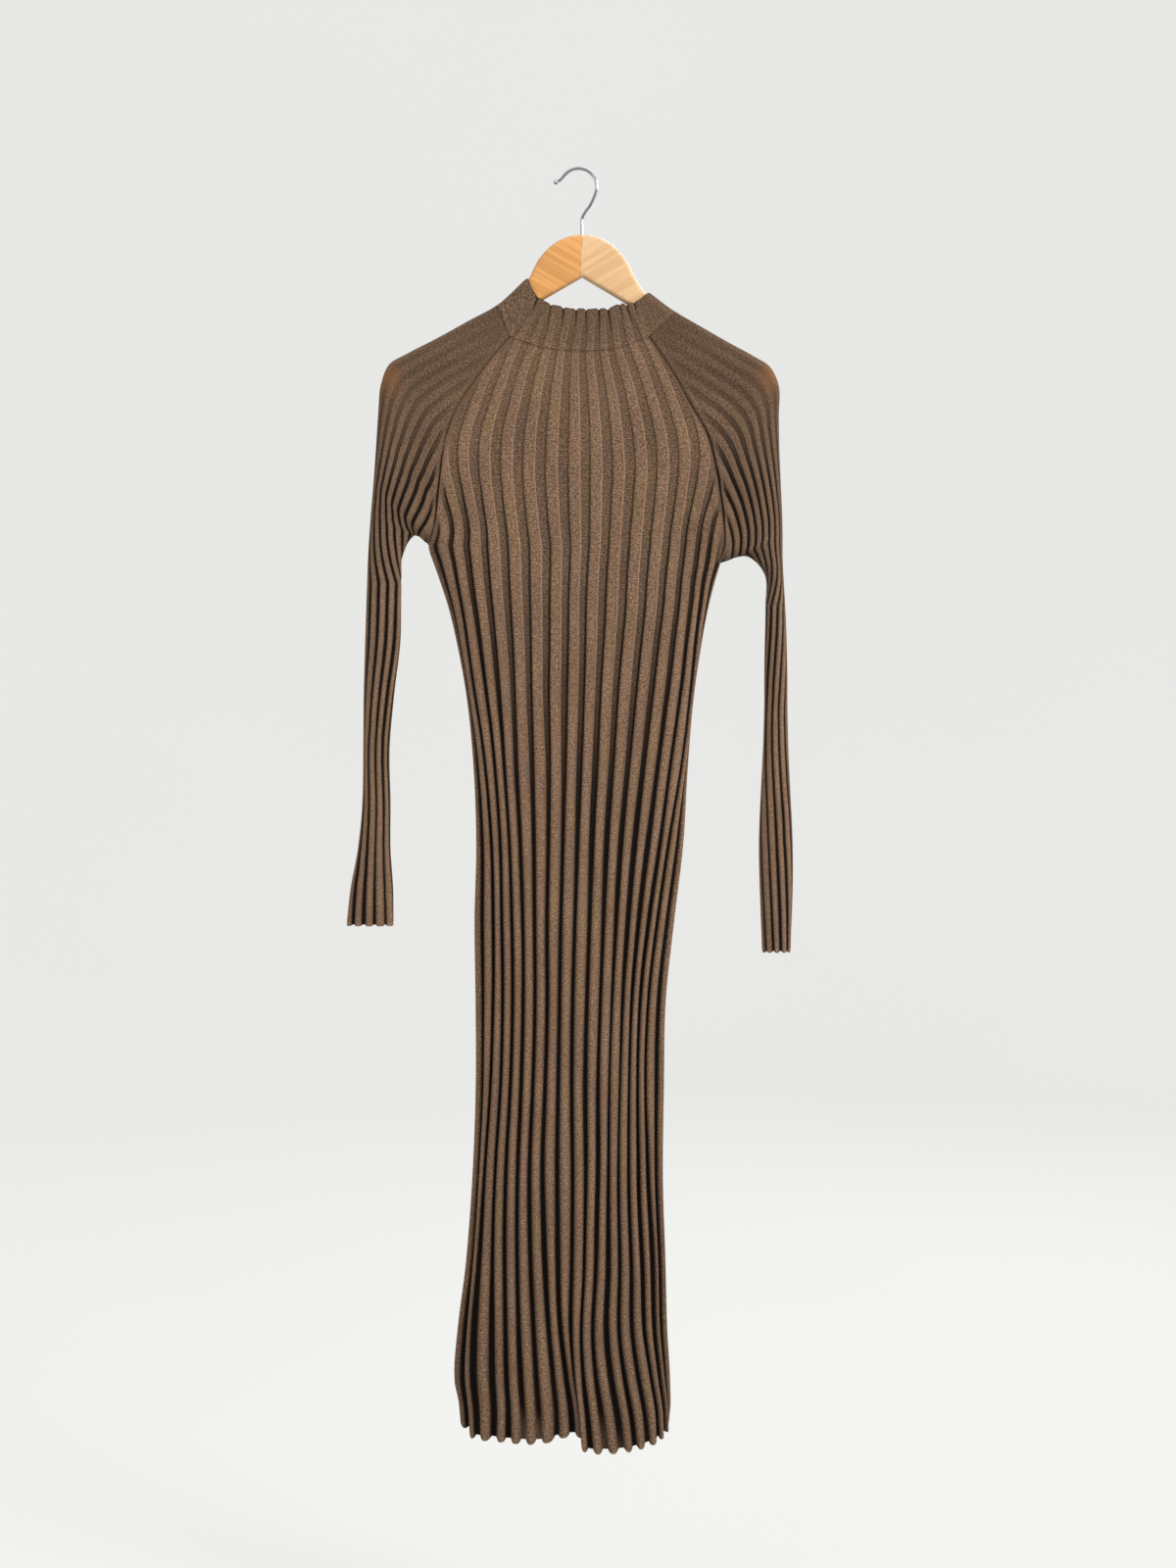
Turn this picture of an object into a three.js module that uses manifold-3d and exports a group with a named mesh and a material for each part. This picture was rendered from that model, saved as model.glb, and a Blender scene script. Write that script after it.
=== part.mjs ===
import * as THREE from 'three';
import { mergeVertices } from 'three/addons/utils/BufferGeometryUtils.js';
import Module from 'manifold-3d';

// A long wide-rib knit dress with a mock neck and raglan sleeves, hanging on a
// wooden hanger with a wire hook. Millimetres, +Z up, the front faces -Y.
// The origin is the inside of the hook's crown, where the hook rests.

// Driving dimensions
const HANGER_X = 3.8;          // the hanger's middle stands this far right of the hook's crown
const WALL = 1.6;              // knit cloth between the ribs
const SEAM_GAP = 0.3;          // between two pieces at a seam
const FOLD_POWER = 2.2;        // roundness of every folded edge
const RIBS = 17;               // ribs across the front, and as many across the back
const RIB_COLUMNS = 3;         // mesh columns on each rib of the front and back
const SLEEVE_RIBS = 5;         // ribs on each face of a sleeve
const SLEEVE_COLUMNS = 3;      // mesh columns on each rib of a sleeve
const MEASURED_RIB = 4;        // the groove whose place the section table gives
const LEAST_OPENING = 0.8;     // half the depth beside a sleeve's folds
const RIB_ROUNDNESS = 0.6;     // below 1 the ribs have full crests and narrow grooves
const BACK_SPREAD = 0.05;      // the back's inner ribs are this share wider than its outer
const BISECTIONS = 40;         // halvings that find where the ribs meet a raglan
const PATH_STEPS = 160;        // fine steps that measure the cloth round a sleeve
const GUARD = 1e-6;

const COLOURS = {
  cloth: 0x7b6453,
  collar: 0x735c4c,
  woodLeft: 0xdb9a5c,
  woodRight: 0xe6b886,
  chrome: 0xc9ccd0,
};

// Sections of the body, from the neck seam to the hem: where the left edge, the
// groove 4 ribs left of the middle, the middle groove, the groove 4 ribs right
// and the right edge stand. Above the underarm the edges lie past the raglan.
const BODY = [
  { z: -184.5, left: -134, left4: -62, middle: 0, right4: 62, right: 134 },
  { z: -205, left: -148, left4: -69, middle: 0, right4: 70, right: 150 },
  { z: -230, left: -163, left4: -77, middle: 1, right4: 79, right: 166 },
  { z: -258, left: -177, left4: -85, middle: 2, right4: 88, right: 181 },
  { z: -290, left: -188, left4: -93, middle: 3, right4: 97, right: 193 },
  { z: -325, left: -190, left4: -95, middle: 3, right4: 100, right: 190 },
  { z: -360, left: -176, left4: -92, middle: 3, right4: 97, right: 175 },
  { z: -385, left: -166, left4: -89, middle: 3, right4: 94, right: 162 },
  { z: -400, left: -164, left4: -87, middle: 3, right4: 92, right: 158 },
  { z: -413, left: -167, left4: -86, middle: 3, right4: 91, right: 155 },
  { z: -432, left: -161, left4: -85, middle: 2, right4: 89, right: 150 },
  { z: -452, left: -154, left4: -84, middle: 1, right4: 87, right: 144 },
  { z: -480, left: -145, left4: -82, middle: 0, right4: 85, right: 137 },
  { z: -523, left: -135, left4: -79, middle: 0, right4: 80, right: 129 },
  { z: -580, left: -125, left4: -76, middle: -1, right4: 74, right: 121 },
  { z: -652, left: -118, left4: -73, middle: -3, right4: 66.5, right: 115 },
  { z: -738, left: -115, left4: -68, middle: -6, right4: 58, right: 110 },
  { z: -824, left: -117, left4: -65.5, middle: -8.6, right4: 50.5, right: 100 },
  { z: -910, left: -116, left4: -65.5, middle: -10.7, right4: 44, right: 91 },
  { z: -1010, left: -116, left4: -67, middle: -11.8, right4: 41, right: 89 },
  { z: -1110, left: -120, left4: -70, middle: -10.7, right4: 40, right: 88 },
  { z: -1200, left: -127, left4: -71, middle: -11, right4: 41, right: 91 },
  { z: -1270, left: -136, left4: -70, middle: -12, right4: 40, right: 93 },
  { z: -1320, left: -140, left4: -68, middle: -9, right4: 46, right: 96 },
  { z: -1362, left: -136, left4: -65, middle: -5, right4: 54, right: 97 },
  { z: -1395, left: -134, left4: -64, middle: -3, right4: 58, right: 96 },
];

// The raglan seams, at the same heights as the body's upper sections.
const RAGLAN = [
  { z: -184.5, left: -78, right: 73 },
  { z: -205, left: -96, right: 87 },
  { z: -230, left: -115, right: 103 },
  { z: -258, left: -134, right: 118 },
  { z: -290, left: -147, right: 136 },
  { z: -325, left: -154, right: 146 },
  { z: -360, left: -158, right: 152 },
  { z: -385, left: -160.5, right: 155 },
  { z: -400, left: -163, right: 156 },
  { z: -413, left: -167, right: 155 },
  { z: -432, left: -161, right: 150 },
];
const UNDERARM = { left: -413, right: -432 };

// Sections of the sleeves: the outer fold, and the raglan or the inner fold.
const SLEEVE = {
  left: [
    { outerX: -93, outerZ: -147.5, innerX: -78, innerZ: -184.5 },
    { outerX: -125, outerZ: -165.5, innerX: -96, innerZ: -205 },
    { outerX: -160, outerZ: -185, innerX: -115, innerZ: -230 },
    { outerX: -192, outerZ: -201.5, innerX: -134, innerZ: -258 },
    { outerX: -212, outerZ: -213.5, innerX: -147, innerZ: -290 },
    { outerX: -221, outerZ: -236, innerX: -154, innerZ: -325 },
    { outerX: -223.5, outerZ: -264, innerX: -158, innerZ: -360 },
    { outerX: -225.5, outerZ: -295, innerX: -160.5, innerZ: -385 },
    { outerX: -227.5, outerZ: -325, innerX: -163, innerZ: -400 },
    { outerX: -229.5, outerZ: -352, innerX: -167, innerZ: -413 },
    { outerX: -232, outerZ: -382, innerX: -183, innerZ: -401 },
    { outerX: -234.5, outerZ: -419, innerX: -196, innerZ: -421 },
    { outerX: -236, outerZ: -455, innerX: -198, innerZ: -455 },
    { outerX: -238, outerZ: -515, innerX: -199, innerZ: -515 },
    { outerX: -239.5, outerZ: -575, innerX: -206, innerZ: -575 },
    { outerX: -240, outerZ: -635, innerX: -211, innerZ: -635 },
    { outerX: -241, outerZ: -695, innerX: -210, innerZ: -695 },
    { outerX: -246, outerZ: -745, innerX: -210, innerZ: -745 },
    { outerX: -254, outerZ: -787, innerX: -207, innerZ: -787 },
    { outerX: -259, outerZ: -828, innerX: -206, innerZ: -828 },
  ],
  right: [
    { outerX: 104, outerZ: -156, innerX: 73, innerZ: -184.5 },
    { outerX: 127, outerZ: -169.5, innerX: 87, innerZ: -205 },
    { outerX: 158, outerZ: -187.5, innerX: 103, innerZ: -230 },
    { outerX: 188, outerZ: -204, innerX: 118, innerZ: -258 },
    { outerX: 206, outerZ: -215.5, innerX: 136, innerZ: -290 },
    { outerX: 216, outerZ: -236, innerX: 146, innerZ: -325 },
    { outerX: 216, outerZ: -270, innerX: 152, innerZ: -360 },
    { outerX: 216.5, outerZ: -308, innerX: 155, innerZ: -385 },
    { outerX: 218, outerZ: -345, innerX: 156, innerZ: -400 },
    { outerX: 219.5, outerZ: -380, innerX: 155, innerZ: -413 },
    { outerX: 220, outerZ: -402, innerX: 150, innerZ: -432 },
    { outerX: 220, outerZ: -424, innerX: 181, innerZ: -424 },
    { outerX: 221, outerZ: -448, innerX: 200, innerZ: -443 },
    { outerX: 223, outerZ: -480, innerX: 201, innerZ: -480 },
    { outerX: 225, outerZ: -540, innerX: 200, innerZ: -540 },
    { outerX: 226, outerZ: -609, innerX: 199, innerZ: -609 },
    { outerX: 228, outerZ: -670, innerX: 196.5, innerZ: -670 },
    { outerX: 231, outerZ: -738, innerX: 194, innerZ: -738 },
    { outerX: 231, outerZ: -800, innerX: 195, innerZ: -800 },
    { outerX: 229, outerZ: -857, innerX: 197, innerZ: -857 },
  ],
};

// The collar from its left fold to its right fold: its top edge and its seam.
const COLLAR = [
  { across: 0, topX: -61, topZ: -118, seamX: -93, seamZ: -147.5 },
  { across: 0.18, topX: -49, topZ: -140, seamX: -78, seamZ: -184.5 },
  { across: 0.32, topX: -29, topZ: -151, seamX: -40, seamZ: -196 },
  { across: 0.5, topX: 6, topZ: -155, seamX: 0, seamZ: -199.5 },
  { across: 0.68, topX: 33, topZ: -152, seamX: 40, seamZ: -196 },
  { across: 0.82, topX: 57, topZ: -147, seamX: 73, seamZ: -184.5 },
  { across: 1, topX: 74, topZ: -134, seamX: 104, seamZ: -156 },
];
const COLLAR_ROWS = 4;
const COLLAR_SIDE_COLUMNS = 5;   // from a fold to a raglan
const COLLAR_FACE_COLUMNS = 30;  // from raglan to raglan
const COLLAR_RIB_WIDTH = 12.3;   // the neck's ribs at the top edge, drawn together
const COLLAR_RELIEF = 1.3;
const GATHER_FADE = 1.4;         // how fast the neck's ribs fade below the edge
const SIDE_CROWDING = 1.6;       // the side columns stand closer towards the folds
// How far the fold lines run on past the collar's peaks.
const PEAK_REACH = { left: { x: 32, z: 29.5 }, right: { x: -30, z: 22 } };
// The share of the neck seam's dip that each of the body's first rows takes.
const SEAM_DIP = [1, 0.55, 0.2];
// The share of the seam gap by which a sleeve's first row clears the collar.
const COLLAR_CLEAR = 0.75;

// Half the garment's depth, the width of its rounded edges and how far its ribs
// stand out, at each height. The sleeves part from the body at the underarm.
const DEPTH = [
  { z: -110, body: 10.4, sleeve: 10.4, round: 12, relief: 0.6 },
  { z: -215, body: 10.8, sleeve: 10.8, round: 13, relief: 0.7 },
  { z: -300, body: 12.5, sleeve: 12.5, round: 18, relief: 0.9 },
  { z: -425, body: 14.0, sleeve: 14.0, round: 24, relief: 1.2 },
  { z: -500, body: 15.0, sleeve: 13.0, round: 40, relief: 1.6 },
  { z: -700, body: 17.0, sleeve: 12.5, round: 85, relief: 2.8 },
  { z: -1000, body: 19.5, sleeve: 13.0, round: 100, relief: 4.2 },
  { z: -1250, body: 22.0, sleeve: 13.0, round: 100, relief: 5.0 },
  { z: -1420, body: 24.5, sleeve: 13.0, round: 100, relief: 5.5 },
];
const SLEEVE_RELIEF = 2.2;
const SLEEVE_RELIEF_SHARE = 0.8;
const SLEEVE_ROUND = 22;
const EDGE_COMPRESSION = [
  { z: -185, pull: 0.0 },
  { z: -380, pull: 0.4 },
  { z: -480, pull: 0.75 },
  { z: -900, pull: 0.0 },
  { z: -1420, pull: 0.0 },
];

// The hem: where each rib ends on the front, and on the back.
const HEM = [
  { rib: -8.5, front: -1376, back: -1376 },
  { rib: -7.5, front: -1387, back: -1384 },
  { rib: -6, front: -1389, back: -1388 },
  { rib: -3, front: -1391, back: -1391 },
  { rib: -0.5, front: -1386, back: -1392 },
  { rib: 0.5, front: -1399, back: -1392 },
  { rib: 2, front: -1402, back: -1391 },
  { rib: 5, front: -1396, back: -1388 },
  { rib: 7.5, front: -1382, back: -1381 },
  { rib: 8.5, front: -1374, back: -1374 },
];

// The pleat at the middle of the front hem: the left ribs pass behind the right.
// reach and edge are counted in ribs from the middle.
const PLEAT = { top: -1215, bottom: -1390, tuck: 7, lap: 4, back: 8, reach: 3.5, edge: 0.5 };

// The hanger
const WOOD_HALF = 6;            // half the wood's thickness
const WOOD_EDGE = 4.5;          // rounding of its edges, through the thickness
const WOOD_EDGE_RUN = 5;        // the same, in the plane of the hanger
const WOOD_CLEAR = 1.0;         // under the cloth's crown
const WOOD_TOP = -71.5;
const WOOD_DOME = 55;           // half the head's width where the arms start
const WOOD_APEX = -118;         // the head's lower edge at the mitre
const WOOD_TIP = {
  left: { x: -201, z: -222.4, radius: 9.3, slope: 0.57 },
  right: { x: 195, z: -223.6, radius: 8.8, slope: 0.59 },
};
const MITRE_GAP = 0.3;
// The curves of the head on the right, from the top over the dome to the arm.
const HEAD_TOP = [{ x: 26, z: WOOD_TOP }, { x: 46, z: -89 }, { x: WOOD_DOME + 1, z: -115 }];
const HEAD_NECK = [{ x: 62, z: -126 }, { x: 68, z: -138 }, { x: 86, z: -150 }];
const LEFT_ARM_START = { x: -88, z: -149.5 };
const CUT_WIDTH = 600;          // of the block that parts the two halves
const CUT_DEPTH = 100;

// The hook
const WIRE = 1.7;
const HOOK_RADIUS = 20;         // to the wire's middle
const STEM_DEPTH = 14;
const BALL = 2.6;
const BORE_CLEAR = 0.3;
const STEM = [{ x: 0, z: -66 }, { x: 0, z: -54 }, { x: 3.2, z: -46.5 }, { x: 9, z: -38.5 }];
const CIRCLE = { from: -22, to: 142, step: 16.4 };
const CURL = [{ x: -24.5, z: -11.2 }, { x: -28, z: -13 }];
const BALL_AT = { x: -28.8, z: -13.5 };

// Reads one column of a table, smoothly between its rows.
function lookup(table, key, value, column) {
  const sign = Math.sign(table[table.length - 1][key] - table[0][key]);
  const place = (row) => sign * row[key];
  const at = sign * value;
  if (at <= place(table[0])) return table[0][column];
  const last = table.length - 1;
  if (at >= place(table[last])) return table[last][column];
  let i = 0;
  while (place(table[i + 1]) < at) i += 1;
  const slope = (a, b) => (table[b][column] - table[a][column]) / (place(table[b]) - place(table[a]));
  const span = place(table[i + 1]) - place(table[i]);
  const here = slope(i, i + 1);
  const before = i > 0 ? (slope(i - 1, i) + here) / 2 : here;
  const after = i + 2 <= last ? (slope(i + 1, i + 2) + here) / 2 : here;
  const t = (at - place(table[i])) / span;
  const rise = table[i + 1][column] - table[i][column];
  const curl = t * (1 - t);
  return table[i][column] + rise * t
    + span * curl * ((before - here) * (1 - t) - (after - here) * t);
}

function smoothstep(low, high, value) {
  const t = Math.min(Math.max((value - low) / (high - low), 0), 1);
  return t * t * (3 - 2 * t);
}

// The folded edges of the hanging garment, seen from the front. Each runs with
// the cloth on its left hand.
function foldedEdges() {
  const point = (x, z) => ({ x, z });
  const outer = (side) => SLEEVE[side].map((row) => point(row.outerX, row.outerZ));
  const inner = (side) => SLEEVE[side]
    .filter((row, i) => i >= underarmRow(side))
    .map((row) => point(row.innerX, row.innerZ));
  const flank = (side) => BODY
    .filter((row) => row.z < UNDERARM[side])
    .map((row) => point(row[side], row.z));
  const extend = (line) => {
    const a = line[line.length - 2];
    const b = line[line.length - 1];
    return [...line, point(b.x + (b.x - a.x), b.z + (b.z - a.z))];
  };
  const neckLeft = point(COLLAR[0].topX, COLLAR[0].topZ);
  const neckRight = point(COLLAR[COLLAR.length - 1].topX, COLLAR[COLLAR.length - 1].topZ);
  const beyond = (neck, reach) => point(neck.x + reach.x, neck.z + reach.z);
  const beyondLeft = beyond(neckLeft, PEAK_REACH.left);
  const beyondRight = beyond(neckRight, PEAK_REACH.right);
  return [
    extend([beyondLeft, neckLeft, ...outer('left')]),
    [...extend(inner('left')).reverse(), ...extend(flank('left'))],
    [...extend(flank('right')).reverse(), ...extend(inner('right'))],
    extend([beyondRight, neckRight, ...outer('right')]).reverse(),
  ];
}

function underarmRow(side) {
  return SLEEVE[side].findIndex((row) => row.innerZ === UNDERARM[side]);
}

const EDGES = foldedEdges();

// How far a point lies inside the nearest folded edge, and the way out to it.
function edgeDistance(x, z) {
  let best = { distance: Infinity, outX: 0, outZ: 0 };
  for (const line of EDGES) {
    for (let i = 0; i + 1 < line.length; i += 1) {
      const dx = line[i + 1].x - line[i].x;
      const dz = line[i + 1].z - line[i].z;
      const length = Math.hypot(dx, dz);
      const along = ((x - line[i].x) * dx + (z - line[i].z) * dz) / (length * length);
      const t = Math.min(Math.max(along, 0), 1);
      const nearX = line[i].x + t * dx;
      const nearZ = line[i].z + t * dz;
      const distance = Math.hypot(x - nearX, z - nearZ);
      if (distance < best.distance - GUARD) {
        const far = distance > 0.05;
        best = {
          distance,
          outX: far ? (nearX - x) / distance : dz / length,
          outZ: far ? (nearZ - z) / distance : -dx / length,
        };
      }
    }
  }
  return best;
}

// One point of the cloth's surface between the ribs, with the way outwards.
// face is -1 on the front and +1 on the back.
function clothPoint(x, z, face, piece, roundLimit) {
  const edge = edgeDistance(x, z);
  const relief = reliefAt(z, piece);
  const depth = lookup(DEPTH, 'z', z, piece) - relief;
  const round = Math.min(lookup(DEPTH, 'z', z, 'round'), roundLimit);
  const inset = Math.max(edge.distance - relief, 0);
  const t = Math.min(inset / round, 1);
  const rest = 1 - (1 - t) ** FOLD_POWER;
  const height = depth * rest ** (1 / FOLD_POWER);
  const base = new THREE.Vector3(
    x - edge.outX * Math.max(relief - edge.distance, 0),
    face * height,
    z - edge.outZ * Math.max(relief - edge.distance, 0),
  );
  const normal = new THREE.Vector3(edge.outX, 0, edge.outZ);
  if (t > GUARD) {
    const steep = (depth / round) * rest ** (1 / FOLD_POWER - 1) * (1 - t) ** (FOLD_POWER - 1);
    normal.set(edge.outX * steep, face, edge.outZ * steep).normalize();
  }
  return { base, normal };
}

function reliefAt(z, piece) {
  const relief = lookup(DEPTH, 'z', z, 'relief');
  return piece === 'sleeve' ? Math.min(relief, SLEEVE_RELIEF) * SLEEVE_RELIEF_SHARE : relief;
}

// How high a rib stands at a place across it, in shares of a rib's width.
function ribHeight(across) {
  const share = across - Math.floor(across);
  return Math.sin(Math.PI * share) ** RIB_ROUNDNESS;
}

// A closed wall from an outer and an inner grid of points. Each inner column
// stands under every so many outer columns. From the row joinFrom on, the first
// and the last columns are one, so the wall becomes a tube there.
class Wall {
  constructor(outer, inner, joinFrom = Infinity) {
    this.positions = [];
    this.triangles = [];
    this.rows = outer.length;
    this.ratio = (outer[0].length - 1) / (inner[0].length - 1);
    this.outer = this.indexGrid(outer, joinFrom);
    this.inner = this.indexGrid(inner, joinFrom);
    this.skin(this.outer, false);
    this.skin(this.inner, true);
    this.rim(0, false);
    this.rim(this.rows - 1, true);
    this.sides(joinFrom);
  }

  indexGrid(grid, joinFrom) {
    return grid.map((row, r) => row.map((point, c) => {
      if (r >= joinFrom && c === row.length - 1) return null;
      this.positions.push(point);
      return this.positions.length - 1;
    })).map((row) => {
      const last = row.length - 1;
      if (row[last] === null) row[last] = row[0];
      return row;
    });
  }

  triangle(a, b, c, flip) {
    if (a === b || b === c || c === a) return;
    this.triangles.push(flip ? [a, c, b] : [a, b, c]);
  }

  skin(grid, flip) {
    for (let r = 0; r + 1 < grid.length; r += 1) {
      for (let c = 0; c + 1 < grid[r].length; c += 1) {
        this.triangle(grid[r][c], grid[r + 1][c], grid[r + 1][c + 1], flip);
        this.triangle(grid[r][c], grid[r + 1][c + 1], grid[r][c + 1], flip);
      }
    }
  }

  rim(row, flip) {
    const outer = this.outer[row];
    const inner = this.inner[row];
    for (let i = 0; i + 1 < inner.length; i += 1) {
      for (let k = 0; k < this.ratio; k += 1) {
        const c = i * this.ratio + k;
        this.triangle(inner[i], outer[c], outer[c + 1], flip);
      }
      this.triangle(inner[i], outer[(i + 1) * this.ratio], inner[i + 1], flip);
    }
  }

  sides(joinFrom) {
    for (let r = 0; r + 1 < this.rows && r < joinFrom; r += 1) {
      for (const [pick, flip] of [[(row) => row[0], false], [(row) => row[row.length - 1], true]]) {
        const a = pick(this.outer[r]);
        const b = pick(this.inner[r]);
        const c = pick(this.inner[r + 1]);
        const d = pick(this.outer[r + 1]);
        this.triangle(a, b, c, flip);
        this.triangle(a, c, d, flip);
      }
    }
  }

  geometry() {
    const flat = this.positions.flatMap((p) => [p.x, p.y, p.z]);
    let triangles = this.triangles;
    if (signedVolume(this.positions, triangles) < 0) {
      triangles = triangles.map(([a, b, c]) => [a, c, b]);
    }
    const geometry = new THREE.BufferGeometry();
    geometry.setAttribute('position', new THREE.Float32BufferAttribute(flat, 3));
    geometry.setIndex(triangles.flat());
    geometry.computeVertexNormals();
    return geometry;
  }
}

function signedVolume(positions, triangles) {
  let volume = 0;
  for (const [a, b, c] of triangles) {
    volume += positions[a].dot(new THREE.Vector3().crossVectors(positions[b], positions[c])) / 6;
  }
  return volume;
}

// Where a rib coordinate stands across the body at one height.
function bodyX(rib, z, face) {
  const read = (column) => lookup(BODY, 'z', z, column);
  const half = RIBS / 2;
  const edge = rib < 0 ? read('left') : read('right');
  const middle = face < 0 ? read('middle') : (read('left') + read('right')) / 2;
  const measured = rib < 0 ? read('left4') : read('right4');
  const at4 = MEASURED_RIB / half;
  const share4 = face < 0 ? (measured - middle) / (edge - middle) : at4 + BACK_SPREAD;
  const pull = lookup(EDGE_COMPRESSION, 'z', z, 'pull');
  const push = (share4 - at4) / (at4 * (1 - at4)) - at4 * pull;
  const a = Math.abs(rib) / half;
  const share = a + a * (1 - a) * (push + pull * a);
  return middle + (edge - middle) * share;
}

// The rib coordinate at which the body's ribs meet a raglan.
function ribAtRaglan(side, z, face) {
  const target = lookup(RAGLAN, 'z', z, side);
  let near = 0;
  let far = side === 'left' ? -RIBS / 2 : RIBS / 2;
  if (z <= UNDERARM[side]) return far;
  for (let i = 0; i < BISECTIONS; i += 1) {
    const mid = (near + far) / 2;
    if (Math.abs(bodyX(mid, z, face)) < Math.abs(target)) near = mid;
    else far = mid;
  }
  return (near + far) / 2;
}

// The neck seam dips from the raglans to the middle of the front and back.
function seamDip(x, row) {
  if (row >= SEAM_DIP.length) return 0;
  const span = x < 0 ? RAGLAN[0].left : RAGLAN[0].right;
  const share = Math.min(Math.abs(x / span), 1);
  const dip = collarSeamZ(x) - BODY[0].z - SEAM_GAP;
  return row === 0 ? dip : dip * (1 - share ** 4) * SEAM_DIP[row];
}

function collarSeamZ(x) {
  return lookup(COLLAR.slice(1, -1), 'seamX', x, 'seamZ');
}

// The lap of the pleat at one rib coordinate: how far it moves across and back.
function pleatShift(rib, z, face) {
  if (face > 0) return { across: 0, back: 0 };
  const open = smoothstep(PLEAT.top, PLEAT.bottom, z);
  const { reach, edge } = PLEAT;
  const crossed = smoothstep(-edge, edge, rib);
  const under = smoothstep(-reach, -edge, rib) * (1 - crossed);
  const over = crossed * (1 - smoothstep(edge, reach, rib));
  return {
    across: open * (PLEAT.tuck * under - PLEAT.lap * over),
    back: open * PLEAT.back * under,
  };
}

function bodyPanel(face) {
  const columns = RIBS * RIB_COLUMNS;
  const column = face < 0 ? 'front' : 'back';
  const outer = [];
  const inner = [];
  BODY.forEach((section, row) => {
    const from = ribAtRaglan('left', section.z, face);
    const to = ribAtRaglan('right', section.z, face);
    const outerRow = [];
    const innerRow = [];
    for (let c = 0; c <= columns; c += 1) {
      const rib = from + ((to - from) * c) / columns;
      const shift = pleatShift(rib, section.z, face);
      const seam = c === 0 ? SEAM_GAP / 2 : c === columns ? -SEAM_GAP / 2 : 0;
      const onRaglan = section.z > (c === 0 ? UNDERARM.left : UNDERARM.right);
      const side = rib < 0 ? 'left' : 'right';
      const inset = section.z > UNDERARM[side] ? 0 : reliefAt(section.z, 'body');
      const pull = Math.sign(rib) * inset * Math.abs((2 * rib) / RIBS) ** 3;
      const x = bodyX(rib, section.z, face) - pull + (onRaglan ? seam : 0);
      const last = row === BODY.length - 1;
      const z = last ? lookup(HEM, 'rib', rib, column) : section.z + seamDip(x, row);
      const cloth = clothPoint(x, z, face, 'body', Infinity);
      const lift = reliefAt(z, 'body') * ribHeight(rib);
      const top = cloth.base.clone().addScaledVector(cloth.normal, lift);
      const under = cloth.base.clone().addScaledVector(cloth.normal, -WALL);
      for (const point of [top, under]) {
        point.x += shift.across;
        point.y += shift.back;
        if (seam && !onRaglan) point.y = face * SEAM_GAP / 2;
      }
      outerRow.push(top);
      if (c % RIB_COLUMNS === 0) innerRow.push(under);
    }
    outer.push(outerRow);
    inner.push(innerRow);
  });
  return new Wall(outer, inner).geometry();
}

// Points spaced evenly along the cloth from a sleeve's outer fold to its other
// end, on one face.
function sleeveHalf(section, face, count) {
  const halfWidth = Math.hypot(section.outerX - section.innerX, section.outerZ - section.innerZ) / 2;
  const at = (t) => clothPoint(
    section.outerX + (section.innerX - section.outerX) * t,
    section.outerZ + (section.innerZ - section.outerZ) * t,
    face,
    'sleeve',
    Math.min(SLEEVE_ROUND, section.closed ? halfWidth : Infinity),
  );
  const path = [];
  for (let i = 0; i <= PATH_STEPS; i += 1) {
    const t = (1 - Math.cos((Math.PI * i) / PATH_STEPS)) / 2;
    path.push(at(t));
  }
  const lengths = [0];
  for (let i = 1; i <= PATH_STEPS; i += 1) {
    lengths.push(lengths[i - 1] + path[i].base.distanceTo(path[i - 1].base));
  }
  const total = lengths[PATH_STEPS];
  return Array.from({ length: count + 1 }, (unused, k) => {
    const wanted = (total * k) / count;
    let i = 1;
    while (i < PATH_STEPS && lengths[i] < wanted) i += 1;
    const share = (wanted - lengths[i - 1]) / Math.max(lengths[i] - lengths[i - 1], GUARD);
    const base = path[i - 1].base.clone().lerp(path[i].base, share);
    const normal = path[i - 1].normal.clone().lerp(path[i].normal, share).normalize();
    if (k > 0 && k < count) base.y = face * Math.max(Math.abs(base.y), LEAST_OPENING);
    return { base, normal };
  });
}

function sleeve(side) {
  const count = SLEEVE_RIBS * SLEEVE_COLUMNS;
  const join = underarmRow(side);
  const inward = side === 'left' ? -1 : 1;
  const outer = [];
  const inner = [];
  SLEEVE[side].forEach((row, index) => {
    const section = { ...row, closed: index >= join };
    const front = sleeveHalf(section, -1, count);
    const back = sleeveHalf(section, 1, count);
    const round = [...back.reverse(), ...front.slice(1)];
    const outerRow = [];
    const innerRow = [];
    round.forEach((cloth, c) => {
      const rib = c / SLEEVE_COLUMNS;
      const z = cloth.base.z;
      const end = c === 0 || c === round.length - 1;
      const lift = reliefAt(z, 'sleeve') * ribHeight(rib);
      const top = cloth.base.clone().addScaledVector(cloth.normal, lift);
      const under = cloth.base.clone().addScaledVector(cloth.normal, -WALL);
      for (const point of [top, under]) {
        if (end && index < join) point.x += inward * SEAM_GAP / 2;
        if (end && index === join) point.x += inward * SEAM_GAP;
        if (index === 0) {
          point.x += inward * SEAM_GAP * COLLAR_CLEAR;
          point.z -= SEAM_GAP * COLLAR_CLEAR;
        }
      }
      outerRow.push(top);
      innerRow.push(under);
    });
    outer.push(outerRow);
    inner.push(innerRow);
  });
  return new Wall(outer, inner, join).geometry();
}

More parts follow.
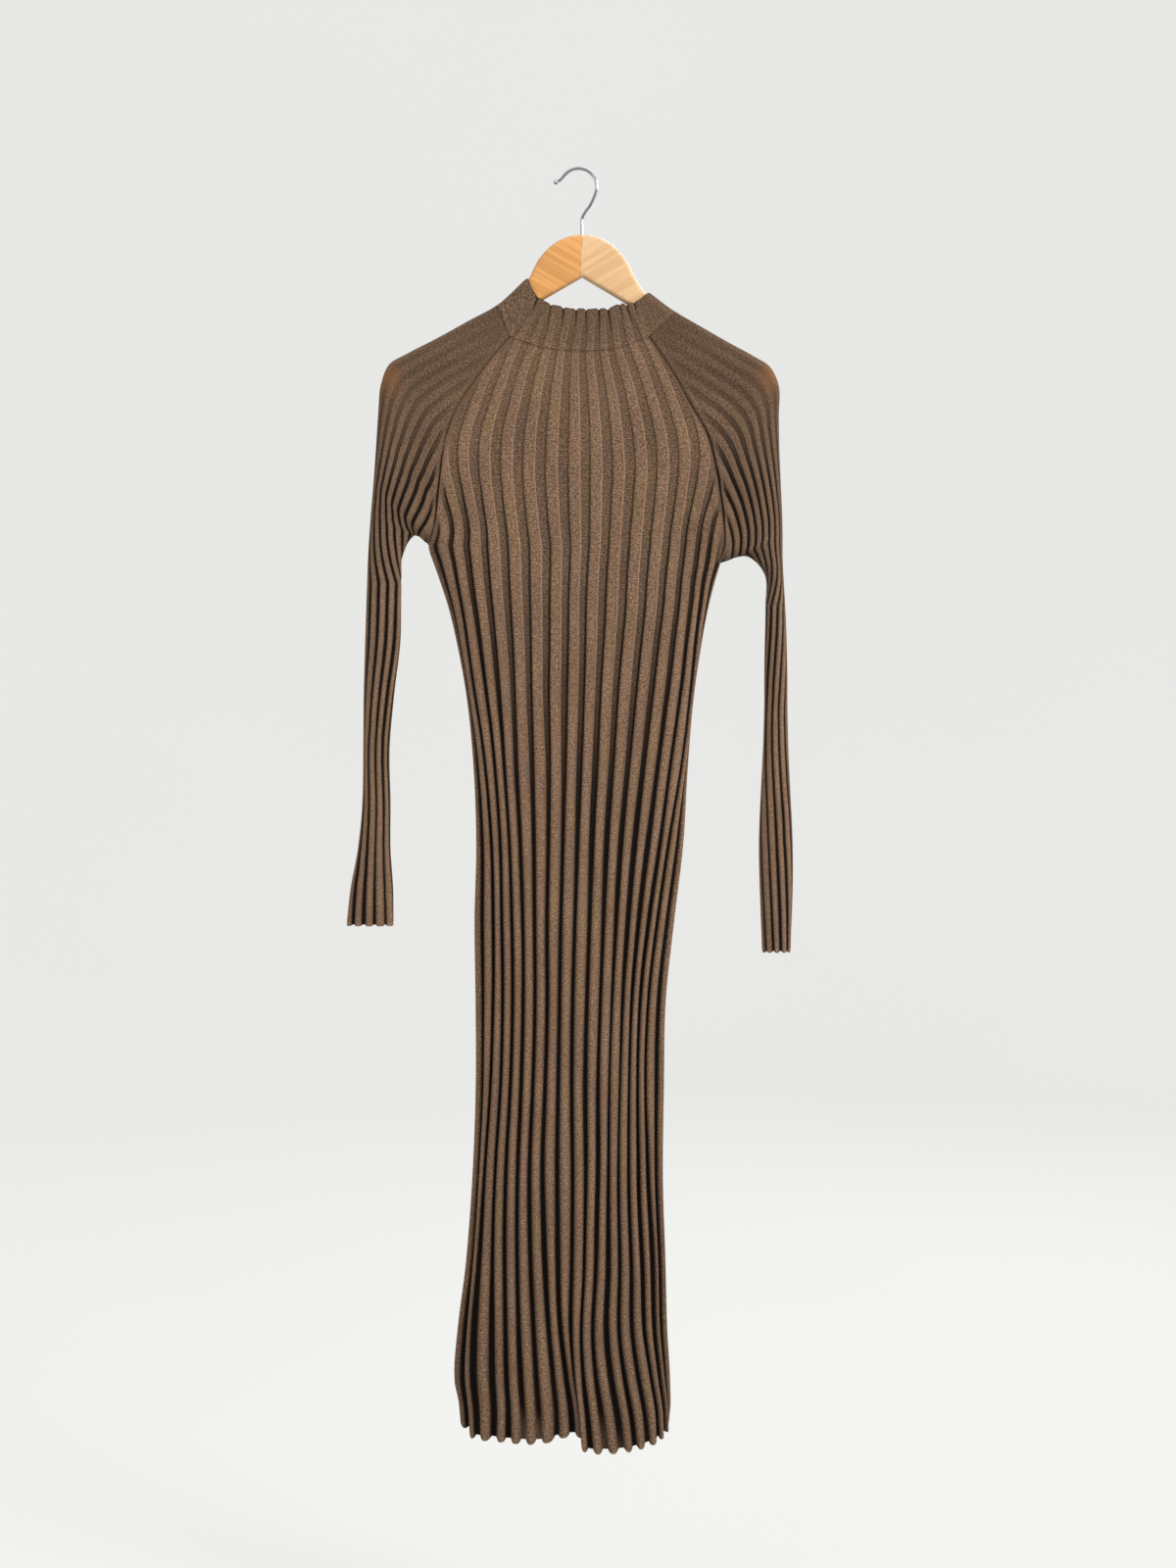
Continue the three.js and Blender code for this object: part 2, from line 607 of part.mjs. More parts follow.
// The places of the collar's columns, in shares of its width.
function collarColumns() {
  const corner = COLLAR[1].across;
  const places = [];
  for (let i = 0; i < COLLAR_SIDE_COLUMNS; i += 1) {
    places.push(corner * (i / COLLAR_SIDE_COLUMNS) ** SIDE_CROWDING);
  }
  for (let i = 0; i <= COLLAR_FACE_COLUMNS; i += 1) {
    places.push(corner + ((1 - 2 * corner) * i) / COLLAR_FACE_COLUMNS);
  }
  for (let i = COLLAR_SIDE_COLUMNS - 1; i >= 0; i -= 1) {
    places.push(1 - corner * (i / COLLAR_SIDE_COLUMNS) ** SIDE_CROWDING);
  }
  return places;
}

function collarPoint(across, down, face) {
  const read = (column) => lookup(COLLAR, 'across', across, column);
  const straight = (column) => {
    const i = across < 0.5 ? 0 : COLLAR.length - 2;
    const a = COLLAR[i];
    const b = COLLAR[i + 1];
    return a[column] + ((b[column] - a[column]) * (across - a.across)) / (b.across - a.across);
  };
  const side = across < COLLAR[1].across || across > COLLAR[COLLAR.length - 2].across;
  const seamX = side ? straight('seamX') : read('seamX');
  const seamZ = side ? straight('seamZ') : collarSeamZ(seamX);
  const x = read('topX') + (seamX - read('topX')) * down;
  const z = read('topZ') + (seamZ - read('topZ')) * down;
  return clothPoint(x, z, face, 'body', Infinity);
}

function collar() {
  const places = collarColumns();
  const loop = [
    ...places.map((across) => ({ across, face: -1 })),
    ...places.slice(1, -1).reverse().map((across) => ({ across, face: 1 })),
    { across: places[0], face: -1 },
  ];
  const outer = [];
  const inner = [];
  for (let r = 0; r <= COLLAR_ROWS; r += 1) {
    const down = r / COLLAR_ROWS;
    const outerRow = [];
    const innerRow = [];
    for (const { across, face } of loop) {
      const cloth = collarPoint(across, down, face);
      const onFace = Math.abs(across - 0.5) < 0.5 - COLLAR[1].across;
      const gather = onFace ? COLLAR_RELIEF * (1 - down) ** GATHER_FADE : 0;
      const rib = cloth.base.x / COLLAR_RIB_WIDTH;
      outerRow.push(cloth.base.clone().addScaledVector(cloth.normal, gather * ribHeight(rib)));
      innerRow.push(cloth.base.clone().addScaledVector(cloth.normal, -WALL));
    }
    outer.push(outerRow);
    inner.push(innerRow);
  }
  return new Wall(outer, inner, 0).geometry();
}

// The hanger's outline, under the shoulder folds of the cloth: from the top over
// the right arm to the mitre's foot, then round the left arm and back.
function hangerOutline() {
  const shape = new THREE.Shape();
  const drop = WALL + WOOD_CLEAR + reliefAt(WOOD_TIP.left.z, 'sleeve');
  const shoulder = (side, i) => {
    const row = SLEEVE[side][i];
    const edge = edgeDistance(row.outerX, row.outerZ);
    shape.lineTo(row.outerX - edge.outX * drop, row.outerZ - edge.outZ * drop);
  };
  const curve = (way, a, b, end) => {
    shape.bezierCurveTo(way * a.x, a.z, way * b.x, b.z, way * end.x, end.z);
  };
  const tip = (side, start) => {
    const { x, z, radius } = WOOD_TIP[side];
    shape.absarc(x, z, radius, start, start - Math.PI, true);
  };
  shape.moveTo(0, WOOD_TOP);
  curve(1, ...HEAD_TOP);
  curve(1, ...HEAD_NECK);
  [1, 2, 3].forEach((i) => shoulder('right', i));
  tip('right', Math.PI / 2 - Math.atan(WOOD_TIP.right.slope));
  shape.lineTo(0, WOOD_APEX);
  tip('left', 1.5 * Math.PI + Math.atan(WOOD_TIP.left.slope));
  [3, 2, 1].forEach((i) => shoulder('left', i));
  const [neckTop, neckLow] = HEAD_NECK;
  const [topFirst, topLast, dome] = HEAD_TOP;
  shape.lineTo(LEFT_ARM_START.x, LEFT_ARM_START.z);
  curve(-1, neckLow, neckTop, dome);
  curve(-1, topLast, topFirst, { x: 0, z: WOOD_TOP });
  return shape;
}

const wasm = await Module();
wasm.setup();

function toSolid(geometry) {
  const bare = geometry.index ? geometry.clone() : geometry;
  bare.deleteAttribute('normal');
  bare.deleteAttribute('uv');
  const merged = mergeVertices(bare, 1e-4);
  return new wasm.Manifold(new wasm.Mesh({
    numProp: 3,
    vertProperties: new Float32Array(merged.attributes.position.array),
    triVerts: new Uint32Array(merged.index.array),
  }));
}

function fromSolid(solid) {
  const mesh = solid.getMesh();
  const geometry = new THREE.BufferGeometry();
  geometry.setAttribute('position', new THREE.BufferAttribute(new Float32Array(mesh.vertProperties), 3));
  geometry.setIndex(new THREE.BufferAttribute(new Uint32Array(mesh.triVerts), 1));
  geometry.computeVertexNormals();
  return geometry;
}

// One mitred half of the hanger, bored for the hook's stem.
function hangerArm(side) {
  const board = new THREE.ExtrudeGeometry(hangerOutline(), {
    depth: 2 * (WOOD_HALF - WOOD_EDGE),
    bevelEnabled: true,
    bevelThickness: WOOD_EDGE,
    bevelSize: WOOD_EDGE_RUN,
    bevelOffset: -WOOD_EDGE_RUN,
    bevelSegments: 3,
    curveSegments: 6,
  });
  board.rotateX(Math.PI / 2);
  board.translate(0, WOOD_HALF - WOOD_EDGE, 0);
  const away = new THREE.BoxGeometry(CUT_WIDTH, CUT_DEPTH, CUT_WIDTH);
  away.translate((side === 'left' ? 1 : -1) * (CUT_WIDTH - MITRE_GAP) / 2, 0, 0);
  const bore = new THREE.CylinderGeometry(WIRE + BORE_CLEAR, WIRE + BORE_CLEAR, 2 * STEM_DEPTH, 16);
  bore.rotateX(Math.PI / 2);
  bore.translate(0, 0, WOOD_TOP);
  return fromSolid(toSolid(board).subtract(toSolid(away)).subtract(toSolid(bore)));
}

// The wire hook: a stem from the wood, a bend to the right, an open circle and
// a short back curl that ends in a small ball.
function hook() {
  const centre = { x: -HANGER_X, z: -HOOK_RADIUS + WIRE };
  const circle = [];
  for (let degrees = CIRCLE.from; degrees <= CIRCLE.to; degrees += CIRCLE.step) {
    const angle = THREE.MathUtils.degToRad(degrees);
    circle.push({
      x: centre.x + HOOK_RADIUS * Math.cos(angle),
      z: centre.z + HOOK_RADIUS * Math.sin(angle),
    });
  }
  const foot = { x: 0, z: WOOD_TOP - STEM_DEPTH + 1 };
  const route = [foot, ...STEM, ...circle, ...CURL].map(({ x, z }) => new THREE.Vector3(x, 0, z));
  const wire = new THREE.ExtrudeGeometry(
    new THREE.Shape().absarc(0, 0, WIRE, 0, 2 * Math.PI),
    {
      steps: 36,
      curveSegments: 4,
      bevelEnabled: false,
      extrudePath: new THREE.CatmullRomCurve3(route),
    },
  );
  const ball = new THREE.SphereGeometry(BALL, 10, 6);
  ball.translate(BALL_AT.x, 0, BALL_AT.z);
  return fromSolid(toSolid(wire).add(toSolid(ball)));
}

function material(name, colour, roughness, metalness) {
  const made = new THREE.MeshStandardMaterial({ color: colour, roughness, metalness });
  made.name = name;
  return made;
}

const knit = material('knit', COLOURS.cloth, 0.95, 0);
const knitCollar = material('knit collar', COLOURS.collar, 0.95, 0);
const woodLeft = material('wood left', COLOURS.woodLeft, 0.45, 0);
const woodRight = material('wood right', COLOURS.woodRight, 0.45, 0);
const chrome = material('chrome', COLOURS.chrome, 0.15, 1);

const dress = new THREE.Group();
dress.position.x = HANGER_X;

function addPiece(name, geometry, finish) {
  const mesh = new THREE.Mesh(geometry, finish);
  mesh.name = name;
  dress.add(mesh);
}

addPiece('front_panel', bodyPanel(-1), knit);
addPiece('back_panel', bodyPanel(1), knit);
addPiece('left_sleeve', sleeve('left'), knit);
addPiece('right_sleeve', sleeve('right'), knit);
addPiece('collar', collar(), knitCollar);
addPiece('hanger_arm_left', hangerArm('left'), woodLeft);
addPiece('hanger_arm_right', hangerArm('right'), woodRight);
addPiece('hanger_hook', hook(), chrome);

const model = new THREE.Group();
model.add(dress);

export default model;
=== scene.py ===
import math

import bmesh
import bpy
import numpy as np
from mathutils import Matrix, Vector


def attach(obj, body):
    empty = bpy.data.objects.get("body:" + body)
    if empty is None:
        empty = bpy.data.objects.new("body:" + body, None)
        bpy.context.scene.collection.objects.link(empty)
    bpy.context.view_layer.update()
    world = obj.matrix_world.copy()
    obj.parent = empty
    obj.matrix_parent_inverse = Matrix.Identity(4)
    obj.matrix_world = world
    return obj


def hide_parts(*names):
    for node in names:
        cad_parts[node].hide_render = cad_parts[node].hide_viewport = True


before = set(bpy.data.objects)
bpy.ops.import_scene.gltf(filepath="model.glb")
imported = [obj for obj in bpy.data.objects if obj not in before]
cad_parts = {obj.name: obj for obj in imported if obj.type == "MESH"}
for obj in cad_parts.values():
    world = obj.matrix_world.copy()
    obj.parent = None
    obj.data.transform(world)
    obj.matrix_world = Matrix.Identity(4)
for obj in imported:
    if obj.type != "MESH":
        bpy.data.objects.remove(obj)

bl_info = {
    "name": "Rib knit dress on a hanger",
    "version": (1, 0, 0),
    "blender": (4, 5, 0),
    "location": "3D View > Sidebar > Dress",
    "description": "Builds a long rib knit dress, its seams, the wooden hanger and a pale studio",
    "category": "Object",
}

# Sizes are millimetres in the dress's own frame until a mesh is made. Its middle
# stands HANGER_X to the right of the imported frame's origin, and -Y is its front.
MM = 0.001
HANGER_X = 3.8
FRONT, BACK = -1, 1
FOLD_POWER = 2.2
RIBS = 17
MEASURED_RIB = 4
SLEEVE_RIBS = 5
SEAM_GAP = 0.3
TINY = 1e-6


class Table:
    """Measured sizes in named columns, read smoothly between the rows."""

    def __init__(self, names, rows):
        rows = np.array(rows, float)
        if rows[0, 0] > rows[-1, 0]:
            rows = rows[::-1]
        self.columns = dict(zip(names.split(), rows.T))
        self.key = rows[:, 0]

    def read(self, name, at):
        return smooth_read(self.key, self.columns[name], at)


def smooth_read(key, values, at):
    """A smooth curve through values at the places in key."""
    at = np.clip(np.asarray(at, float), key[0], key[-1])
    i = np.clip(np.searchsorted(key, at, side="right") - 1, 0, len(key) - 2)
    slopes = np.diff(values) / np.diff(key)
    tangents = np.concatenate([slopes[:1], (slopes[1:] + slopes[:-1]) / 2, slopes[-1:]])
    span = key[i + 1] - key[i]
    t = (at - key[i]) / span
    bend = (tangents[i] - slopes[i]) * (1 - t) - (tangents[i + 1] - slopes[i]) * t
    return values[i] + (values[i + 1] - values[i]) * t + span * t * (1 - t) * bend


def smoothstep(low, high, value):
    t = np.clip((value - low) / (high - low), 0, 1)
    return t * t * (3 - 2 * t)


WAVES_ACROSS, WAVES_DOWN = (0.01, 0.05), (0.005, 0.025)


def waves(x, z, seed, count=5):
    """A slow unevenness between about -1 and 1, the same on each run."""
    random = np.random.default_rng(seed)
    total = np.zeros(np.broadcast(x, z).shape)
    for _ in range(count):
        across, down = random.uniform(*WAVES_ACROSS), random.uniform(*WAVES_DOWN)
        total += np.sin(across * x + down * z + random.uniform(0, 2 * np.pi))
    return total / count ** 0.5


# Sections of the body from the neck seam to the hem: the left fold, the groove
# four ribs left of the middle, the middle groove, its partner and the right fold.
BODY = Table("z left left4 middle right4 right", [
    (-184.5, -134, -62, 0, 62, 134),
    (-205, -148, -69, 0, 70, 150),
    (-230, -163, -77, 1, 79, 166),
    (-258, -177, -85, 2, 88, 181),
    (-290, -188, -93, 3, 97, 193),
    (-325, -190, -95, 3, 100, 190),
    (-360, -176, -92, 3, 97, 175),
    (-385, -166, -89, 3, 94, 162),
    (-400, -164, -87, 3, 92, 158),
    (-413, -167, -86, 3, 91, 155),
    (-432, -161, -85, 2, 89, 150),
    (-452, -154, -84, 1, 87, 144),
    (-480, -145, -82, 0, 85, 137),
    (-523, -135, -79, 0, 80, 129),
    (-580, -125, -76, -1, 74, 121),
    (-652, -118, -73, -3, 66.5, 115),
    (-738, -115, -68, -6, 58, 110),
    (-824, -117, -65.5, -8.6, 50.5, 100),
    (-910, -116, -65.5, -10.7, 44, 91),
    (-1010, -116, -67, -11.8, 41, 89),
    (-1110, -120, -70, -10.7, 40, 88),
    (-1200, -127, -71, -11, 41, 91),
    (-1270, -136, -70, -12, 40, 93),
    (-1320, -140, -68, -9, 46, 96),
    (-1362, -136, -65, -5, 54, 97),
    (-1395, -134, -64, -3, 58, 96),
])
NECK_Z, HEM_Z = -184.5, -1395

# The raglan seams on the front and the back.
RAGLAN = Table("z left right", [
    (-184.5, -78, 73),
    (-205, -96, 87),
    (-230, -115, 103),
    (-258, -134, 118),
    (-290, -147, 136),
    (-325, -154, 146),
    (-360, -158, 152),
    (-385, -160.5, 155),
    (-400, -163, 156),
    (-413, -167, 155),
    (-432, -161, 150),
])
UNDERARM = {"left": -413, "right": -432}

# Sections of the sleeves: the outer fold, then the raglan or the inner fold.
SLEEVE = {
    "left": np.array([
        (-93, -147.5, -78, -184.5),
        (-125, -165.5, -96, -205),
        (-160, -185, -115, -230),
        (-192, -201.5, -134, -258),
        (-212, -213.5, -147, -290),
        (-221, -236, -154, -325),
        (-223.5, -264, -158, -360),
        (-225.5, -295, -160.5, -385),
        (-227.5, -325, -163, -400),
        (-229.5, -352, -167, -413),
        (-232, -382, -183, -401),
        (-234.5, -419, -196, -421),
        (-236, -455, -198, -455),
        (-238, -515, -199, -515),
        (-239.5, -575, -206, -575),
        (-240, -635, -211, -635),
        (-241, -695, -210, -695),
        (-246, -745, -210, -745),
        (-254, -787, -207, -787),
        (-259, -828, -206, -828),
    ]),
    "right": np.array([
        (104, -156, 73, -184.5),
        (127, -169.5, 87, -205),
        (158, -187.5, 103, -230),
        (188, -204, 118, -258),
        (206, -215.5, 136, -290),
        (216, -236, 146, -325),
        (216, -270, 152, -360),
        (216.5, -308, 155, -385),
        (218, -345, 156, -400),
        (219.5, -380, 155, -413),
        (220, -402, 150, -432),
        (220, -424, 181, -424),
        (221, -448, 200, -443),
        (223, -480, 201, -480),
        (225, -540, 200, -540),
        (226, -609, 199, -609),
        (228, -670, 196.5, -670),
        (231, -738, 194, -738),
        (231, -800, 195, -800),
        (229, -857, 197, -857),
    ]),
}
UNDERARM_ROW = {"left": 9, "right": 10}

# The collar from its left fold to its right fold: its top edge and its seam.
COLLAR = Table("across top_x top_z seam_x seam_z", [
    (0, -61, -118, -93, -147.5),
    (0.18, -49, -140, -78, -184.5),
    (0.32, -29, -151, -40, -196),
    (0.5, 6, -155, 0, -199.5),
    (0.68, 33, -152, 40, -196),
    (0.82, 57, -147, 73, -184.5),
    (1, 74, -134, 104, -156),
])
COLLAR_CORNER = 0.18

# Half the dress's depth, the width of its rounded edges and its ribs' relief.
DEPTH = Table("z body sleeve round relief", [
    (-110, 10.4, 10.4, 12, 0.6),
    (-215, 10.8, 10.8, 13, 0.7),
    (-300, 12.5, 12.5, 18, 0.9),
    (-425, 14.0, 14.0, 24, 1.2),
    (-500, 15.0, 13.0, 40, 1.6),
    (-700, 17.0, 12.5, 85, 2.8),
    (-1000, 19.5, 13.0, 100, 4.2),
    (-1250, 22.0, 13.0, 100, 5.0),
    (-1420, 24.5, 13.0, 100, 5.5),
])
SLEEVE_RELIEF = 2.2
SLEEVE_RELIEF_SHARE = 0.8
SLEEVE_ROUND = 22

# The side ribs look as the others do this much further down.
SIDE_LEAD = 250
SIDE_RIBS, SIDE_STARTS = (2.5, 8), (-300, -400)

EDGE_COMPRESSION = Table("z pull", [
    (-185, 0.0),
    (-380, 0.4),
    (-480, 0.75),
    (-900, 0.0),
    (-1420, 0.0),
])

# How a rib looks: the share of its pitch that lies back, how flat its crest is,
# how dark the painted shade on the lying part is, how pale the painted highlight
# on the crest's right edge is and how dark the painted shade in the slit along its
# left edge is; crest is how much paler its top is, a painted highlight.
RIB_LOOK = Table("z gap flat groove edge slit crest", [
    (-110, 0.46, 8.0, 0.12, 0.2, 0.1, 0.1),
    (-240, 0.46, 8.0, 0.20, 0.7, 0.4, 0.3),
    (-320, 0.45, 8.0, 0.24, 0.8, 0.55, 0.3),
    (-430, 0.42, 7.0, 0.28, 0.9, 0.85, 0.3),
    (-560, 0.35, 5.0, 0.50, 0.6, 1.0, 0.4),
    (-760, 0.27, 3.2, 0.92, 0.2, 0.8, 0.55),
    (-1000, 0.25, 2.6, 1.00, 0.0, 0.0, 0.6),
    (-1270, 0.27, 2.4, 1.00, 0.0, 0.0, 0.5),
    (-1420, 0.37, 2.4, 0.95, 0.0, 0.0, 0.4),
])

# How far single grooves of the front stand off their regular places: m is left
# of the middle and p right of it.
GROOVE_SHIFT = Table("z m7 m6 m2 p2 p6 p7", [
    (-330, 1.0, 1.2, -1.2, 1.0, -2.0, -2.0),
    (-394, 2.6, 1.9, 0.0, -1.0, -2.3, -3.5),
    (-480, 0.8, 0.9, -0.3, 0.3, -0.6, -1.1),
    (-566, -0.2, 1.7, -1.3, -1.1, 2.7, 3.3),
    (-652, 3.4, 4.4, 1.2, 0.2, 1.6, 3.6),
    (-738, 3.6, 3.4, 0.2, 0.4, 0.4, -1.3),
    (-824, 3.0, 1.4, -0.9, 0.4, -1.2, -2.3),
    (-910, 1.5, 1.2, 0.6, 1.1, -2.2, -2.8),
    (-996, -0.4, 0.7, 0.0, 1.0, -2.5, -3.6),
    (-1082, -3.4, -1.7, -0.9, 1.4, 0.1, 0.3),
    (-1168, -5.4, -2.8, 1.8, -1.1, 2.1, 3.6),
    (-1254, -6.6, -1.2, 4.0, -2.6, 4.6, 5.0),
    (-1340, -5.6, 0.0, 3.0, -3.4, 6.4, 5.4),
    (-1395, -6.0, -2.4, 1.6, -3.0, 5.0, 4.6),
])
SHIFT_PLACES = ((-8.5, None), (-7, "m7"), (-6, "m6"), (-4, None), (-2, "m2"), (0, None),
                (2, "p2"), (4, None), (6, "p6"), (7, "p7"), (8.5, None))
SHIFT_STARTS = (-300, -340)


def groove_shift(rib, z):
    """The front grooves' own leaning, smooth from rib to rib."""
    known = [(place, GROOVE_SHIFT.read(name, z) if name else np.zeros_like(z))
             for place, name in SHIFT_PLACES]
    shift = np.zeros_like(z)
    for (first, low), (last, high) in zip(known, known[1:]):
        t = (rib - first) / (last - first)
        within = (t >= 0) & (t <= 1)
        shift = np.where(within, low + (high - low) * smoothstep(0, 1, t), shift)
    return shift * smoothstep(*SHIFT_STARTS, z)


HEM = Table("rib front back", [
    (-8.5, -1376, -1376),
    (-7.5, -1387, -1384),
    (-6, -1389, -1388),
    (-3, -1391, -1391),
    (-0.5, -1386, -1392),
    (0.5, -1399, -1392),
    (2, -1402, -1391),
    (5, -1396, -1388),
    (7.5, -1382, -1381),
    (8.5, -1374, -1374),
])
HEM_STRETCH = 65
HEM_SCALLOP = 4.5

# The pleat at the middle of the front hem: the left ribs pass behind the right.
PLEAT_TOP, PLEAT_BOTTOM = -1215, -1390
PLEAT_TUCK, PLEAT_LAP, PLEAT_BACK = 7, 4, 8


def relief_at(z, part):
    relief = DEPTH.read("relief", z)
    return np.minimum(relief, SLEEVE_RELIEF) * SLEEVE_RELIEF_SHARE if part == "sleeve" else relief


def chord_lengths(points):
    return np.concatenate([[0], np.cumsum(np.linalg.norm(np.diff(points, axis=0), axis=1))])


def along_path(points, at):
    """Places on a smooth line through points. at counts the points from 0."""
    lengths = chord_lengths(points)
    reach = np.interp(at, np.arange(len(points)), lengths)
    return np.stack([smooth_read(lengths, points[:, k], reach) for k in (0, 1)], axis=-1)


def neck_peak(side):
    end = 0 if side == "left" else -1
    return np.array([COLLAR.columns["top_x"][end], COLLAR.columns["top_z"][end]])


def outer_fold(side, row):
    """The sleeve's outer fold, at places counted in rows of its table."""
    points = np.vstack([neck_peak(side), SLEEVE[side][:, :2]])
    return along_path(points, np.asarray(row, float) + 1)


def inner_line(side, row):
    """The raglan seam down to the underarm, then the sleeve's inner fold."""
    row = np.asarray(row, float)
    table = SLEEVE[side]
    join = UNDERARM_ROW[side]
    z = np.interp(row, np.arange(len(table)), table[:, 3])
    raglan = np.stack([RAGLAN.read(side, z), z], axis=-1)
    fold = along_path(table[join:, 2:], np.maximum(row - join, 0))
    return np.where((row <= join)[..., None], raglan, fold)


def beyond(line, reach=40):
    """The line with one more point past its end."""
    step = line[-1] - line[-2]
    return np.vstack([line, line[-1] + step / np.linalg.norm(step) * reach])


def folded_edges(steps=8):
    """The folds of the hanging dress, each with the cloth on its left hand."""
    last = len(SLEEVE["left"]) - 1
    lines = {}
    for side in ("left", "right"):
        rows = np.linspace(-1, last, (last + 1) * steps + 1)
        outer = outer_fold(side, rows)
        outer = beyond(beyond(outer[::-1])[::-1])
        join = UNDERARM_ROW[side]
        inner = beyond(inner_line(side, np.linspace(join, last, (last - join) * steps + 1)))
        z = np.linspace(UNDERARM[side], HEM_Z, 200)
        flank = beyond(np.stack([BODY.read(side, z), z], axis=-1))
        lines[side] = outer, np.vstack([inner[::-1], flank[1:]])
    left_outer, left_inner = lines["left"]
    right_outer, right_inner = lines["right"]
    return [left_outer, left_inner, right_inner[::-1], right_outer[::-1]]


EDGES = folded_edges()
EDGE_STARTS = np.vstack([line[:-1] for line in EDGES])
EDGE_STEPS = np.vstack([np.diff(line, axis=0) for line in EDGES])
EDGE_LENGTHS = np.linalg.norm(EDGE_STEPS, axis=1)


def edge_distance(x, z, block=6000):
    """How far points lie inside the nearest fold, and the way out to it.

    The distance is negative outside the dress.
    """
    flat = np.stack([np.ravel(x), np.ravel(z)], axis=-1)
    distance = np.empty(len(flat))
    out = np.empty_like(flat)
    for first in range(0, len(flat), block):
        here = flat[first:first + block]
        away = here[:, None, :] - EDGE_STARTS
        along = np.clip((away * EDGE_STEPS).sum(-1) / EDGE_LENGTHS ** 2, 0, 1)
        gap = away - along[..., None] * EDGE_STEPS
        squared = (gap ** 2).sum(-1)
        best = squared.argmin(axis=1)
        pick = np.arange(len(here))
        nearest = np.sqrt(squared[pick, best])
        steps = EDGE_STEPS[best] / EDGE_LENGTHS[best][:, None]
        sideways = np.stack([steps[:, 1], -steps[:, 0]], axis=-1)
        away = gap[pick, best]
        sign = np.where((away * sideways).sum(-1) > 0, -1, 1)
        straight = -away * (sign / np.maximum(nearest, TINY))[:, None]
        out[first:first + block] = np.where((nearest > 0.05)[:, None], straight, sideways)
        distance[first:first + block] = nearest * sign
    shape = np.shape(x)
    return distance.reshape(shape), out[:, 0].reshape(shape), out[:, 1].reshape(shape)


def cloth_points(x, z, face, part, round_limit=np.inf):
    """Points of the cloth between the ribs, with the way outwards from each."""
    distance, out_x, out_z = edge_distance(x, z)
    relief = relief_at(z, part)
    depth = DEPTH.read(part, z) - relief
    rounding = np.minimum(DEPTH.read("round", z), round_limit)
    t = np.clip((distance - relief) / rounding, 0, 1)
    rest = 1 - (1 - t) ** FOLD_POWER
    over = np.maximum(relief - distance, 0)
    height = depth * rest ** (1 / FOLD_POWER)
    base = np.stack([x - out_x * over, face * height, z - out_z * over], axis=-1)
    turn = np.maximum(rest, TINY) ** (1 / FOLD_POWER - 1) * (1 - t) ** (FOLD_POWER - 1)
    steep = depth / rounding * turn
    normal = np.stack([out_x * steep, np.full_like(steep, face), out_z * steep], axis=-1)
    flat_fold = np.stack([out_x, np.zeros_like(out_x), out_z], axis=-1)
    normal = np.where((t > TINY)[..., None], normal, flat_fold)
    return base, normal / np.linalg.norm(normal, axis=-1, keepdims=True)


def look_level(rib, z):
    """The height whose rib look holds here: the side ribs are deep further up."""
    sides = smoothstep(*SIDE_RIBS, np.abs(rib)) * smoothstep(*SIDE_STARTS, z)
    return z - SIDE_LEAD * sides


GAP_STEP, GAP_SEED, GAP_UNEVENNESS = 41, 31, 0.28
GAP_UNEVEN_FROM = (-450, -900)


def gap_share(rib, level):
    """How much of a rib's pitch lies back, uneven from groove to groove."""
    uneven = waves(np.round(rib) * GAP_STEP, level, GAP_SEED) * smoothstep(*GAP_UNEVEN_FROM, level)
    return RIB_LOOK.read("gap", level) * (1 + GAP_UNEVENNESS * uneven)


def rib_profile(rib, level, inset=0.0):
    """A rib's height as a share of its relief. inset narrows it, as on its inside."""
    half = 0.5 - gap_share(rib, level) / 2 - inset
    u = np.clip(np.abs(rib - np.floor(rib) - 0.5) / half, 0, 1)
    return (1 - u ** RIB_LOOK.read("flat", level)) ** 0.5


def body_x(rib, z, face):
    """Where a rib coordinate stands across the body."""
    half = RIBS / 2
    left = rib < 0
    edge = np.where(left, BODY.read("left", z), BODY.read("right", z))
    if face == FRONT:
        middle = BODY.read("middle", z)
        measured = np.where(left, BODY.read("left4", z), BODY.read("right4", z))
        share4 = (measured - middle) / (edge - middle)
    else:
        middle = (BODY.read("left", z) + BODY.read("right", z)) / 2
        share4 = MEASURED_RIB / half + 0.05
    at4 = MEASURED_RIB / half
    pull = EDGE_COMPRESSION.read("pull", z)
    push = (share4 - at4) / (at4 * (1 - at4)) - at4 * pull
    a = np.abs(rib) / half
    return middle + (edge - middle) * (a + a * (1 - a) * (push + pull * a))


def rib_at_raglan(side, z, face, steps=30):
    """The rib coordinate at which the body's ribs meet a raglan."""
    target = np.abs(RAGLAN.read(side, z))
    near = np.zeros_like(z)
    fold = -RIBS / 2 if side == "left" else RIBS / 2
    far = np.full_like(z, fold)
    for _ in range(steps):
        middle = (near + far) / 2
        short = np.abs(body_x(middle, z, face)) < target
        near = np.where(short, middle, near)
        far = np.where(short, far, middle)
    return np.where(z <= UNDERARM[side], fold, (near + far) / 2)


CROWDING = 0.6


def crowd(share):
    """Moves evenly spaced columns towards the rib's two sides."""
    return share - CROWDING * np.sin(2 * np.pi * share) / (2 * np.pi)


def rib_columns(start, end, count):
    """Rib coordinates from start to end, crowded where the ribs are steep."""
    even = np.linspace(0, 1, 257)

    def uncrowd(rib):
        return np.floor(rib) + np.interp(rib - np.floor(rib), crowd(even), even)

    first, last = uncrowd(start)[:, None], uncrowd(end)[:, None]
    place = first + (last - first) * np.linspace(0, 1, count + 1)
    rib = np.floor(place) + crowd(place - np.floor(place))
    rib[:, 0], rib[:, -1] = start, end
    return rib
